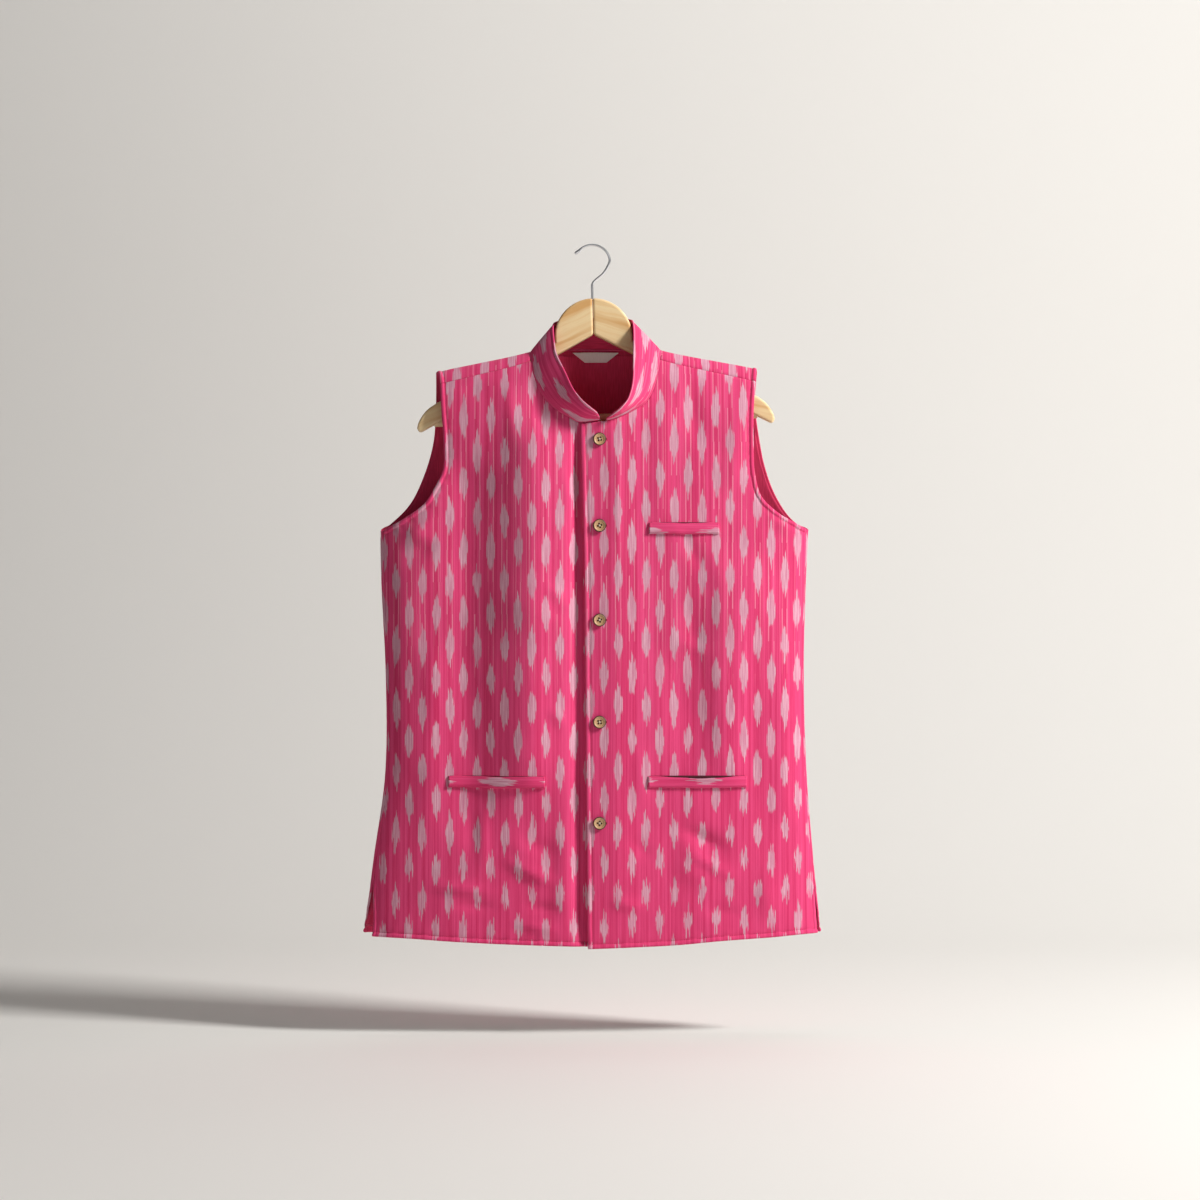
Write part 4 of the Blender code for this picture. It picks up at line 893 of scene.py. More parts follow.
def front_patch(side):
    """A front's patch, and its edges as {name: coordinates}."""
    top = side == "top"
    sign = 1 if top else -1
    centre = coordinates(smooth_line(PLACKET_EDGE if top else UNDER_EDGE), -1)
    hem = coordinates(smooth_line(HEM_TOP if top else HEM_UNDER), -1)
    arm = coordinates(smooth_line(ARMHOLE_FRONT_RIGHT if top else ARMHOLE_FRONT_LEFT), -1)
    shares = seam_shares()
    neck = neck_stretch(1, shares[1]) if top else neck_stretch(0, shares[0])
    neck = np.concatenate([level_line(centre[-1], neck[0])[:-1], neck])
    seam = shoulder_seam(neck[-1], shell(arm[-1])[0])
    arm[-1] = seam[-1]
    side_line = side_edge(sign, shell(hem[-1])[2], shell(arm[0])[2], False)
    arm[0], hem[-1] = side_line[-1], side_line[0]
    below, middle, above = FRONT_ROWS
    rows = below + middle + above
    inner = edge_of(((below + middle) / rows, centre), (1, neck))
    outer = edge_of((below / rows, side_line), (1, arm))
    hem_at, seam_at = edge_of((1, hem)), edge_of((1, seam))

    def patch_at(t, v):
        left, right = (inner, outer) if top else (outer, inner)

        def low(t):
            t = t if top else 1 - t
            return hem_at((1 - CROWDING) * t + CROWDING * t * t)

        def high(t):
            return seam_at(t if top else 1 - t)

        return patch(left, right, low, high, t, v, fade=EDGE_FADE, sag=ROW_SAG)

    slit = side_line[shell(side_line)[:, 2] < SLIT_TOP_Z]
    lines = {"centre": centre, "hem": hem, "arm": arm, "neck": neck, "seam": seam,
             "side": side_line, "slit": slit}
    return patch_at, lines


def back_patch():
    """The back's patch, and its edges as {name: coordinates}."""
    shares = seam_shares()
    below, above, over = BACK_ROWS
    rows = below + above + over
    edges, lines, seams = [], {}, []
    for word, sign, arm, arm_x, share in (
            ("left", -1, ARMHOLE_BACK_LEFT, ARMHOLE_FRONT_LEFT[-1][0], shares[0]),
            ("right", 1, ARMHOLE_BACK_RIGHT, ARMHOLE_FRONT_RIGHT[-1][0], shares[1])):
        hem_z = HEM_BACK[0][1] if sign < 0 else HEM_BACK[-1][1]
        side_line = side_edge(sign, hem_z, arm[0][1], True)
        seam = shoulder_seam(neck_curve(np.array([share]))[0], arm_x, SEAM_GAP)
        arm_line = np.concatenate([side_line[-1:], coordinates(smooth_line(arm)[ARMHOLE_START:], 1)])
        wrap = np.linspace(arm_line[-1], seam[-1], over * 4 + 1)
        edges.append(edge_of((below / rows, side_line), ((below + above) / rows, arm_line), (1, wrap)))
        seams.append(seam[::-1])
        lines["side_" + word] = side_line
        lines["slit_" + word] = side_line[shell(side_line)[:, 2] < SLIT_TOP_Z]
        lines["arm_" + word] = np.concatenate([arm_line, wrap[1:]])
        lines["seam_" + word] = seam
    neck = neck_stretch(*shares)
    neck[0], neck[-1] = seams[0][-1], seams[1][-1]
    hem = coordinates(smooth_line(HEM_BACK, 200), 1)
    for end, edge in ((0, edges[0]), (-1, edges[1])):
        hem[end] = edge(np.zeros(1))[0]
    lines.update(neck=neck, hem=hem)
    top = edge_of((0.25, seams[0]), (0.75, neck), (1, seams[1][::-1]))
    bottom = edge_of((1, hem))
    even_rows = np.linspace(0, 1, 401)
    drops = [edge(even_rows)[:, 1] for edge in edges]
    progress = sum((d[0] - d) / (d[0] - d[-1]) for d in drops) / 2

    def patch_at(t, v):
        return patch(*edges, bottom, top, t, v, np.interp(v, even_rows, progress))

    return patch_at, lines


# --- materials --------------------------------------------------------------------------------
class Value:
    """A shader socket that can be reckoned with, each step becoming a Math node. A number
    stands on the right of the sign."""

    def __init__(self, tree, socket):
        self.tree, self.socket = tree, socket

    def reckon(self, operation, *others, clamp=False):
        node = self.tree.nodes.new("ShaderNodeMath")
        node.operation = operation
        node.use_clamp = clamp
        for slot, value in zip(node.inputs, (self, *others)):
            join_socket(self.tree, slot, value)
        return Value(self.tree, node.outputs[0])

    def __add__(self, other):
        return self.reckon("ADD", other)

    def __sub__(self, other):
        return self.reckon("SUBTRACT", other)

    def __mul__(self, other):
        return self.reckon("MULTIPLY", other)

    def __truediv__(self, other):
        return self.reckon("DIVIDE", other)

    def floor(self):
        return self.reckon("FLOOR")

    def size(self):
        return self.reckon("ABSOLUTE")

    def over(self, limit):
        return self.reckon("GREATER_THAN", limit)

    def ramp(self, low, high):
        """0 below low, 1 above high, straight between them."""
        return ((self - low) / (high - low)).reckon("MAXIMUM", 0.0).reckon("MINIMUM", 1.0)


def join_socket(tree, slot, value):
    if isinstance(value, Value):
        value = value.socket
    if isinstance(value, bpy.types.NodeSocket):
        tree.links.new(value, slot)
    elif slot.type == "RGBA":
        slot.default_value = (*value, 1)
    else:
        slot.default_value = value


def node(tree, kind, inputs, **settings):
    made = tree.nodes.new("ShaderNode" + kind)
    for key, value in settings.items():
        setattr(made, key, value)
    for key, value in inputs.items():
        join_socket(tree, made.inputs[key], value)
    return made


def mixed(tree, share, one, other):
    """A colour between two."""
    made = node(tree, "Mix", {}, data_type="RGBA")
    for key, value in ((0, share), (6, one), (7, other)):
        join_socket(tree, made.inputs[key], value)
    return made.outputs[2]


def uv_parts(tree, name):
    uv = node(tree, "UVMap", {}, uv_map=name)
    parts = node(tree, "SeparateXYZ", {"Vector": uv.outputs[0]})
    return Value(tree, parts.outputs[0]), Value(tree, parts.outputs[1])


def vector(tree, x, y, z=0.0):
    return node(tree, "CombineXYZ", {"X": x, "Y": y, "Z": z}).outputs[0]


def chance(tree, x, y, z):
    """Two random numbers that stay the same for the same whole numbers."""
    noise = node(tree, "TexWhiteNoise", {"Vector": vector(tree, x, y, z)}, noise_dimensions="3D")
    parts = node(tree, "SeparateColor", {"Color": noise.outputs["Color"]})
    return Value(tree, parts.outputs[0]), Value(tree, parts.outputs[1])


def streaks(tree, x, y, x_scale, y_scale, detail=2.0):
    """Noise drawn out along y."""
    noise = node(tree, "TexNoise", {"Vector": vector(tree, x * x_scale, y * y_scale),
                                    "Scale": 1.0, "Detail": detail}, noise_dimensions="2D")
    return Value(tree, noise.outputs[0])


def finish(name, roughness, metallic=0.0, sheen=0.0):
    """A new material, its node tree and its shader."""
    made = bpy.data.materials.new(name)
    made.use_nodes = True
    shader = made.node_tree.nodes["Principled BSDF"]
    shader.inputs["Roughness"].default_value = roughness
    shader.inputs["Metallic"].default_value = metallic
    shader.inputs["Sheen Weight"].default_value = sheen
    shader.inputs["Sheen Roughness"].default_value = 0.5
    return made, made.node_tree, shader


def roughen(tree, shader, height, strength, distance):
    bump = node(tree, "Bump", {"Height": height, "Strength": strength, "Distance": distance})
    tree.links.new(bump.outputs[0], shader.inputs["Normal"])


def weave(tree, shader, strength=0.25):
    """Fine threads both ways, as a light bump, and a number that varies with them."""
    x, y = uv_parts(tree, "weave")
    warp = streaks(tree, x, y, 1500.0, 260.0, 1.0)
    weft = streaks(tree, y, x, 1500.0, 260.0, 1.0)
    both = warp + weft
    roughen(tree, shader, both * 0.5, strength, 0.0004)
    return x, y, both


def ikat_cotton():
    """Warp ikat: motifs of dyed-out threads whose ends don't quite line up, in columns that
    are staggered by half a row, on a pink ground."""
    made, tree, shader = finish("ikat_cotton", 0.86, sheen=0.08)
    shader.inputs["Specular IOR Level"].default_value = 0.25
    x, y, grain = weave(tree, shader)
    column_at, row_at = uv_parts(tree, "ikat")
    column = (column_at + 0.5).floor()
    stagger = (column * 0.5).reckon("FRACT")
    row = (row_at - stagger + 0.5).floor()
    across = (column_at - column) * COLUMN_MM
    up = (row_at - stagger - row) * ROW_MM
    shift_up, shift_across = chance(tree, column, row, 1.0)
    long, full = chance(tree, column, row, 2.0)
    across = across + (shift_across - 0.5) * MOTIF_SHIFT[0]
    up = up + (shift_up - 0.5) * MOTIF_SHIFT[1]
    bundle = (across / BUNDLE).floor()
    bundle_top, bundle_end = chance(tree, column * 12.0 + bundle, row, 3.0)
    thread = (across / THREAD).floor()
    thread_top, thread_end = chance(tree, column * 64.0 + thread, row, 4.0)
    off = across.size()
    half = off * 0.0 + MOTIF_HALF
    for reach, shorter in MOTIF_STEPS:
        half = half - off.over(reach) * shorter
    near_hem = row_at.ramp(*HEM_ROWS)
    half = half * (long * 0.30 + 0.80) * (near_hem * -0.25 + 1.0)
    uneven = near_hem * BUNDLE_STRAY[1] + BUNDLE_STRAY[0]
    top = half + (bundle_top - 0.5) * uneven + (thread_top - 0.5) * THREAD_STRAY - up
    end = half + (bundle_end - 0.5) * uneven + (thread_end - 0.5) * THREAD_STRAY + up
    motif = top.ramp(0.0, MOTIF_ENDS) * end.ramp(0.0, MOTIF_ENDS)
    thin = streaks(tree, x, y, 900.0, 24.0, 2.0).ramp(0.30, 0.66)
    motif = motif * (thin * 0.22 + 0.78) * (full * 0.10 + 0.90)
    side = across.over(0.0)
    tail_here, tail_wide = chance(tree, column * 2.0 + side, row + stagger, 5.0)
    tail = ((off - 3.2).size() * -1.0).ramp(-0.95, -0.30) * (tail_wide * 0.4 + 0.6)
    tail = tail * row_at.ramp(4.2, 3.2) * tail_here.ramp(0.0, 0.5) * 0.80
    second_here, second_place = chance(tree, column * 2.0 + side, 7.0, 6.0)
    second = ((off - (second_place * 5.0 + 2.4)).size() * -1.0).ramp(-0.60, -0.15)
    second = second * row_at.ramp(4.6, 2.6) * second_here.ramp(0.30, 0.9) * 0.40
    broad = streaks(tree, x, y, 210.0, 1.2, 1.0).ramp(0.36, 0.64)
    stripe = streaks(tree, x, y, 640.0, 3.0, 2.0).ramp(0.32, 0.68)
    fine = streaks(tree, x, y, 2300.0, 30.0, 1.0).ramp(0.25, 0.75)
    ground = mixed(tree, broad * 0.38 + stripe * 0.34 + fine * 0.28, GROUND_DARK, GROUND_LIGHT)
    ground = mixed(tree, tail.reckon("MAXIMUM", second), ground, TAIL)
    light = mixed(tree, thin * 0.62 + grain * 0.19, MOTIF_DARK, MOTIF_LIGHT)
    join_socket(tree, shader.inputs["Base Color"], mixed(tree, motif, ground, light))
    return made


def plain_cloth(name, dark, light, sheen=0.1):
    made, tree, shader = finish(name, 0.82, sheen=sheen)
    x, y, grain = weave(tree, shader, 0.18)
    tone = streaks(tree, x, y, 900.0, 60.0).ramp(0.3, 0.7)
    join_socket(tree, shader.inputs["Base Color"], mixed(tree, tone, dark, light))
    return made


def plain(name, colour, roughness, metallic=0.0):
    made, _, shader = finish(name, roughness, metallic)
    shader.inputs["Base Color"].default_value = (*colour, 1)
    return made


def place_parts(tree):
    spot = node(tree, "TexCoord", {}).outputs["Object"]
    parts = node(tree, "SeparateXYZ", {"Vector": spot})
    return [Value(tree, socket) for socket in parts.outputs]


def pine(name, lean, seed):
    """Lacquered pine whose grain runs at a lean, in radians, to the level."""
    made, tree, shader = finish(name, 0.38)
    x, y, z = place_parts(tree)
    along = x * math.cos(lean) + z * math.sin(lean)
    across = z * math.cos(lean) - x * math.sin(lean)
    warp = streaks(tree, along + seed, across, 14.0, 40.0)
    bent = across + (warp - 0.5) * 0.010 + y * 0.25
    ring = streaks(tree, bent + seed, along, 260.0, 5.0, 3.0)
    broad = streaks(tree, bent + seed * 2, along, 60.0, 4.0, 2.0)
    body = mixed(tree, ring.ramp(0.35, 0.72), PINE_LIGHT, PINE_MIDDLE)
    body = mixed(tree, broad.ramp(0.53, 0.70) * 0.85, body, PINE_DARK)
    pore = streaks(tree, across, along, 2600.0, 60.0, 1.0)
    body = mixed(tree, pore.ramp(0.55, 0.8) * 0.25, body, PINE_DARK)
    join_socket(tree, shader.inputs["Base Color"], body)
    shader.inputs["Coat Weight"].default_value = 0.25
    shader.inputs["Coat Roughness"].default_value = 0.25
    roughen(tree, shader, ring, 0.12, 0.0003)
    return made


def coconut():
    """Coconut shell, turned: a pale face with dark flecks and a dark rim, with painted shade in and round
    its four holes.
    """
    made, tree, shader = finish("coconut_shell", 0.42)
    x, y = uv_parts(tree, "turned")
    radius = (x * x + y * y).reckon("SQRT")
    fleck = streaks(tree, x, y, 900.0, 2600.0, 3.0)
    body = mixed(tree, fleck.ramp(0.38, 0.66), COCONUT_LIGHT, COCONUT_MIDDLE)
    turned = (radius * 5200.0).reckon("SINE") * 0.5 + 0.5
    body = mixed(tree, turned * 0.22, body, COCONUT_MIDDLE)
    rim = radius.ramp(BUTTON_RADIUS - 0.0015, BUTTON_RADIUS - 0.0008)
    # painted shade: the holes' walls and a thin ring round each hole go as dark as the rim
    beside, over = ((part.size() - BUTTON_HOLE_PITCH / 2) for part in (x, y))
    from_hole = (beside * beside + over * over).reckon("SQRT")
    hole = from_hole.ramp(BUTTON_HOLE_RADIUS + 0.0005, BUTTON_HOLE_RADIUS + 0.0002)
    dark = rim.reckon("MAXIMUM", hole)
    join_socket(tree, shader.inputs["Base Color"], mixed(tree, dark, body, COCONUT_DARK))
    return made


# --- the pieces of the jacket -----------------------------------------------------------------
def make_front(side, name, cloths):
    patch_at, lines = front_patch(side)
    surface = partial(creased_front, side=side)
    places = fine_grid(patch_at, surface, *FRONT_FINE)
    styles = (("hem", "hem"), ("arm", "armhole"), ("slit", "slit"), ("side", "seam"),
              ("seam", "seam"), ("neck", "neck"), ("centre", "placket" if side == "top" else "raw"))
    edges = [(surface(lines[line]), style) for line, style in styles]
    panel(name, surface, places, edges, side, cloths)
    middle = surface(places[places.shape[0] // 2, places.shape[1] // 2][None])
    for line in ("hem", "arm", "slit") + (("centre",) if side == "top" else ()):
        stitch_line(f"{name}_{line}_stitches", surface, lines[line], dict(styles)[line], middle)


def make_back(cloths, lining):
    patch_at, lines = back_patch()
    places = fine_grid(patch_at, creased_back, *BACK_FINE)[:, ::-1]
    styles = [("hem", "hem"), ("neck", "neck")]
    for word in ("left", "right"):
        styles += [("arm_" + word, "armhole"), ("slit_" + word, "slit"),
                   ("side_" + word, "seam"), ("seam_" + word, "seam")]
    edges = [(creased_back(lines[line]), style) for line, style in styles]
    panel("back", creased_back, places, edges, "back", cloths)
    middle = creased_back(places[places.shape[0] // 2, places.shape[1] // 2][None])
    for line, style in styles:
        if style in ("hem", "armhole", "slit"):
            stitch_line(f"back_{line}_stitches", creased_back, lines[line], style, middle)
    make_back_lining(patch_at, lining)


def make_back_lining(patch_at, lining):
    """The lining, which ends inside the back's seams and bags a little over the hem."""
    places = fine_grid(patch_at, creased_back, *LINING_FINE, near_bottom=LINING_STEPS)
    places = places[len(LINING_STEPS) - 1:-2, LINING_INSET:-LINING_INSET][:, ::-1]
    widest = np.abs(places[:, [0, -1], 0]).max(axis=1)
    places[..., 0] *= np.minimum(1, LINING_REACH / widest)[:, None]

    def sagging(at):
        points = creased_back(at)
        x, z = points[..., 0], points[..., 2]
        clear = smoothstep(*SHOULDER_CLEAR, shoulder_z(x) - z) * smoothstep(0, 0.05, at[..., 1])
        wave = 0.5 + 0.5 * undulation(21, x, z)
        bag = crease_height(CREASES_LINING, x, z)
        points[..., 1] -= clear * (LINING_SAG * np.clip(wave, 0, 1.4) + bag)
        return points

    rim = np.concatenate([places[0], places[1:, -1], places[-1, -2::-1], places[-2:0:-1, 0]])
    panel("back_lining", sagging, places, [(sagging(rim), "lining")], "back", [lining, lining],
          thickness=LINING_THICKNESS, inside=PANEL_THICKNESS + LINING_GAP)


def collar_grid():
    """Places over the collar, whose front ends are rounded, and where each is on the cloth."""
    share = np.linspace(0, 1, COLLAR_FINE[0] + 1)
    steps = np.asarray(COLLAR_STEPS)
    height = np.concatenate([steps, np.linspace(steps[-1], 1 - steps[-1], COLLAR_FINE[1])[1:-1],
                             1 - steps[::-1]])
    base_run = lengths(collar_surface(np.stack([share, 0 * share + 0.5], axis=-1)))
    from_end = np.minimum(base_run, base_run[-1] - base_run)
    reach = np.clip(1 - from_end / COLLAR_CORNER, 0, 1)
    top = 1 - COLLAR_CORNER_DROP * (1 - np.sqrt(1 - reach ** 2))
    places = np.stack(np.broadcast_arrays(share[None], height[:, None] * top[None]), axis=-1)
    rise = np.linalg.norm(collar_surface(places[-1]) - collar_surface(places[0]), axis=-1)
    up = places[..., 1] * np.median(rise)
    return places, np.stack(np.broadcast_arrays(up, base_run[None]), axis=-1)


def collar_layer(name, places, cloth, edges, thickness, inside, most_round, finish):
    """One layer of the collar, as thick as given and as far inside its outer surface."""
    points, normal = collar_surface(places), outward(collar_surface, places)
    outer_height, inner_height = edge_relief(points, edges, most_round)
    if inside:
        outer_height = np.minimum(outer_height, 0)
    outer = points + normal * (outer_height - inside)[..., None]
    inner = points + normal * (inner_height - inside - thickness)[..., None]
    ikat = np.stack([cloth[..., 0] / IKAT["top"][1] + COLLAR_PHASE[0],
                     cloth[..., 1] / COLLAR_ROW + COLLAR_PHASE[1]], axis=-1)
    put(name + "_cloth", sheet_mesh(name + "_cloth", outer, inner, ikat, cloth), finish, (name,))


def make_collar(cloths, lining):
    """The band, the rolled seam at its base, and its facing inside."""
    places, cloth = collar_grid()
    edges = [(collar_surface(line), style) for line, style in
             ((places[-1], "band"), (places[0], "neck"), (places[:, 0], "raw"), (places[:, -1], "raw"))]
    collar_layer("collar", places, cloth, edges, BAND_THICKNESS, 0.0, EDGE_ROUND, cloths)
    middle = collar_surface(np.array([[0.5, 0.5]]))
    stitch_line("collar_stitches", collar_surface, places[-1], "band", middle)
    base, above = collar_surface(places[:2])
    rise = (above - base) / np.linalg.norm(above - base, axis=-1, keepdims=True)
    radius, below, inside = NECK_SEAM
    seam = base - below * rise - inside * outward(collar_surface, places[0])
    tube("collar_seam", [seam[2:-2]], radius, THREADS["pink"])
    inset = np.array(FACING_INSET)
    facing = inset + places * (1 - 2 * inset)
    edges = [(collar_surface(facing[-1]), "lining"), (collar_surface(facing[0]), "raw")]
    collar_layer("collar_facing", facing, cloth, edges, LINING_THICKNESS, BAND_THICKNESS + SEAM_GAP,
                 MOST_ROUND * LINING_THICKNESS, [lining, lining])


def on_front(side, x, z, height):
    """Points at a height over a front, seen square on at (x, z)."""
    x, z, height = np.broadcast_arrays(x, z, height)
    flat = np.stack([x.ravel(), z.ravel()], axis=-1)
    places = coordinates(flat, -1)
    surface = partial(creased_front, side=side)
    points = surface(places) + outward(surface, places) * height.reshape(-1, 1)
    return points.reshape(x.shape + (3,))


def lens(share):
    """How wide a pocket's mouth gapes at a share of its length, 1 in the middle."""
    return np.sin(math.pi * share) ** 1.5


def make_welt_strip(name, left, right, top, bottom, side, cloths):
    """A folded strip whose foot and ends are sewn down and whose top edge stands off the mouth."""
    gape, phase_column, phase_row = WELT_LOOKS[name]
    ends = np.asarray(WELT_ENDS)
    u = np.concatenate([ends, np.linspace(ends[-1], 1 - ends[-1], WELT_COLUMNS)[1:-1], 1 - ends[::-1]])
    v, height = np.array(WELT_RISE).T[..., None]
    wave = sum(size * np.sin(u * pace + phase)
               for (size, pace), phase in zip(WELT_WAVES, (phase_row, phase_column)))
    open_here = gape * lens(u) * v ** 2
    z = bottom + (top - bottom) * v - WELT_SAG * open_here + wave
    x = left + (right - left) * u + 0 * z
    reach, low = WELT_END
    end = low + (1 - low) * smoothstep(0, reach, (0.5 - np.abs(u - 0.5)) * 2)
    lift = (height + open_here) * end + WELT_CLEAR
    outer = on_front(side, x, z, lift + WELT_THICKNESS / 2)
    inner = on_front(side, x, z, lift - WELT_THICKNESS / 2)
    ikat = np.stack([(z - bottom) / IKAT[side][1] + phase_column, x / COLLAR_ROW + phase_row], axis=-1)
    mesh = sheet_mesh(name + "_cloth", outer, inner, ikat, np.stack([z, x], axis=-1))
    put(name + "_cloth", mesh, cloths, (name,))


def make_painted_mouth_shade(name, left, right, top, side, mouth):
    """A near-black sheet behind a welt's top edge: painted shade in the pocket's opening."""
    share = np.linspace(0, 1, MOUTH_COLUMNS)
    offset, gape = np.array(MOUTH_EDGES).T[..., None]
    z = top + offset + WELT_LOOKS[name][0] * gape * lens(share)
    x = np.linspace(left + MOUTH_INSET, right - MOUTH_INSET, MOUTH_COLUMNS) + 0 * z
    outer, inner = (on_front(side, x, z, height) for height in MOUTH_HEIGHTS)
    flat = np.stack([x, z], axis=-1)
    put(name + "_mouth", sheet_mesh(name + "_mouth", outer, inner, flat, flat), [mouth, mouth])


def make_welts(cloths, mouth):
    """The pockets' welts, with their grain turned across the front's, and a bar of stitches at
    each end."""
    for name, left, right, top, bottom, side in WELTS:
        make_welt_strip(name, left, right, top, bottom, side, cloths)
        # a near-black sheet in each pocket's opening: painted shade
        make_painted_mouth_shade(name, left, right, top, side, mouth)
        z = np.linspace(bottom + BAR_ENDS[0], top - BAR_ENDS[1], 9)
        for word, x in (("left", left + BAR_INSET), ("right", right - BAR_INSET)):
            line = on_front(side, x, z, WELT_BAR_HEIGHT)
            stitches(f"{name}_bar_{word}", line, THREADS["pink"], *WELT_BAR_STITCH)


def make_label(finish_of_label):
    """The woven label, bare, sewn to the lining under the collar."""
    t = np.linspace(0, 1, 15)[:, None]
    half = LABEL_BOTTOM_HALF + (LABEL_TOP_HALF - LABEL_BOTTOM_HALF) * t
    x = CENTRE_X + half * np.linspace(1, -1, 41)
    z = LABEL_BOTTOM_Z + (LABEL_TOP_Z - LABEL_BOTTOM_Z) * t + 0 * x
    places = coordinates(np.stack([x, z], axis=-1).reshape(-1, 2), 1).reshape(x.shape + (2,))
    rim = np.concatenate([places[0], places[1:, -1], places[-1, -2::-1], places[-2:0:-1, 0]])
    panel("label", creased_back, places, [(creased_back(rim), "raw")], "back",
          [finish_of_label] * 2, thickness=LABEL_THICKNESS,
          inside=PANEL_THICKNESS + LINING_GAP + LINING_THICKNESS + LABEL_GAP)


def button_profile():
    """(radius, height) along half a section of a button, from the dish round to the back."""
    half = BUTTON_THICKNESS / 2
    inner = BUTTON_RADIUS - BUTTON_RIM
    corner = [(BUTTON_RADIUS - BUTTON_EDGE * (1 - math.sin(a)), half - BUTTON_EDGE * (1 - math.cos(a)))
              for a in np.linspace(0, math.pi / 2, 5)]
    return [(0, half - BUTTON_DISH), (inner - 2 * BUTTON_DISH, half - BUTTON_DISH),
            (inner - BUTTON_DISH, half - BUTTON_DISH * 0.75),
            (inner - BUTTON_DISH * 0.3, half - BUTTON_DISH_ROUND), (inner, half), *corner,
            (BUTTON_RADIUS - BUTTON_EDGE / 2, BUTTON_EDGE - half),
            (BUTTON_RADIUS - 2 * BUTTON_EDGE, -half), (0, -half)]


def turned_body():
    made = bmesh.new()
    line = [made.verts.new((r, 0, z)) for r, z in button_profile()]
    edges = [made.edges.new(pair) for pair in zip(line, line[1:])]
    bmesh.ops.spin(made, geom=line + edges, cent=(0, 0, 0), axis=(0, 0, 1), angle=2 * math.pi,
                   steps=48, use_merge=True)
    bmesh.ops.remove_doubles(made, verts=made.verts, dist=1e-6)
    bmesh.ops.recalc_face_normals(made, faces=made.faces)
    return made


def hole_cutters():
    made = bmesh.new()
    pitch = BUTTON_HOLE_PITCH / 2
    for x, y in ((-pitch, -pitch), (pitch, -pitch), (pitch, pitch), (-pitch, pitch)):
        hole = bmesh.ops.create_cone(made, cap_ends=True, segments=16, radius1=BUTTON_HOLE_RADIUS,
                                     radius2=BUTTON_HOLE_RADIUS, depth=BUTTON_THICKNESS * 2)
        bmesh.ops.translate(made, verts=hole["verts"], vec=(x, y, 0))
    return made


def solid_object(name, made):
    """An object of a finished bmesh."""
    mesh = bpy.data.meshes.new(name)
    made.to_mesh(mesh)
    made.free()
    solid = bpy.data.objects.new(name, mesh)
    bpy.context.scene.collection.objects.link(solid)
    return solid


def make_button_mesh():
    """A turned button with its four holes cut, and its own (x, y) as its UV."""
    body = solid_object("button_body", turned_body())
    cutter = solid_object("button_holes", hole_cutters())
    away = body.modifiers.new("holes", "BOOLEAN")
    away.operation = "DIFFERENCE"
    away.object = cutter
    bpy.context.view_layer.update()
    evaluated = body.evaluated_get(bpy.context.evaluated_depsgraph_get())
    done = bpy.data.meshes.new_from_object(evaluated)
    for used in (body, cutter):
        bpy.data.objects.remove(used)
    done.materials.clear()
    corners = np.array([done.vertices[loop.vertex_index].co[:2] for loop in done.loops])
    done.uv_layers.new(name="turned").data.foreach_set("uv", corners.astype(np.float32).ravel())
    return done


def make_buttons(coconut_finish):
    """Five turned buttons, each sewn on through its four holes, and their buttonholes."""
    shape = make_button_mesh()
    half = BUTTON_THICKNESS / 2
    for number, (z, turn) in enumerate(zip(BUTTON_Z, BUTTON_TURNS), start=1):
        face = on_front("top", np.array(BUTTON_X), np.array(z), np.array(0.0))
        place = Matrix.Translation((BUTTON_X, face[1] - BUTTON_SEAT - half, z)) @ \
            Matrix.Rotation(math.pi / 2, 4, "X") @ Matrix.Rotation(turn, 4, "Z")
        mesh = shape.copy()
        mesh.transform(place)
        name = f"button_{number}"
        button = put(name + "_shell", mesh, coconut_finish, (name,))
        button.data.set_sharp_from_angle(angle=math.radians(50))
        pitch = BUTTON_HOLE_PITCH / 2
        knots = []
        for sign in (-1, 1):
            ends = [place @ Vector((k * pitch, k * sign * pitch, half - BUTTON_DISH - 0.0002))
                    for k in np.linspace(-0.5, 0.5, 7)]
            line = np.array([list(p) for p in ends])
            line[1:-1, 1] -= BUTTON_THREAD[1]
            knots.append(line)
        tube(name + "_thread", knots, BUTTON_THREAD[0], THREADS["white"])
        make_buttonhole(name + "_hole", z)


def make_buttonhole(name, z):
    """A worked buttonhole, whose outer end shows beside the button."""
    turn = np.linspace(0, 2 * math.pi, 60)
    middle = (BUTTONHOLE[0] + BUTTONHOLE[1]) / 2
    half = (BUTTONHOLE[1] - BUTTONHOLE[0]) / 2
    wide = BUTTONHOLE_HALF_WIDTH
    x = middle + np.clip(np.cos(turn) * (half + wide) * 1.02, -half - wide, half + wide)
    ring = z + np.clip(np.sin(turn) * 4, -1, 1) * wide
    line = on_front("top", x, ring, BUTTONHOLE_HEIGHT)
    # its rim's thread is darker than the cloth: painted shade round the cut
    tube(name + "_rim", [line], BUTTONHOLE_THREAD, THREADS["deep"])
    x = np.linspace(middle - half, middle + half, 12)
    line = on_front("top", x, z + 0 * x, BUTTONHOLE_HEIGHT)
    # the slit is a near-black tube: painted shade in the buttonhole's cut
    tube(name + "_slit", [line], BUTTONHOLE_SLIT, THREADS["slit"])


# --- thread -----------------------------------------------------------------------------------
THREADS = {}


def tube(name, lines, radius, thread):
    """Round threads along lines of points."""
    curve = bpy.data.curves.new(name, "CURVE")
    curve.dimensions = "3D"
    curve.bevel_depth = radius
    curve.bevel_resolution = 2
    curve.use_fill_caps = True
    for line in lines:
        spline_made = curve.splines.new("POLY")
        spline_made.points.add(len(line) - 1)
        for point, place in zip(spline_made.points, line):
            point.co = (*place, 1)
    holder = bpy.data.objects.new(name, curve)
    bpy.context.scene.collection.objects.link(holder)
    bpy.context.view_layer.update()
    evaluated = holder.evaluated_get(bpy.context.evaluated_depsgraph_get())
    mesh = bpy.data.meshes.new_from_object(evaluated)
    bpy.data.objects.remove(holder)
    bpy.data.curves.remove(curve)
    mesh.materials.clear()
    return put(name, mesh, thread)


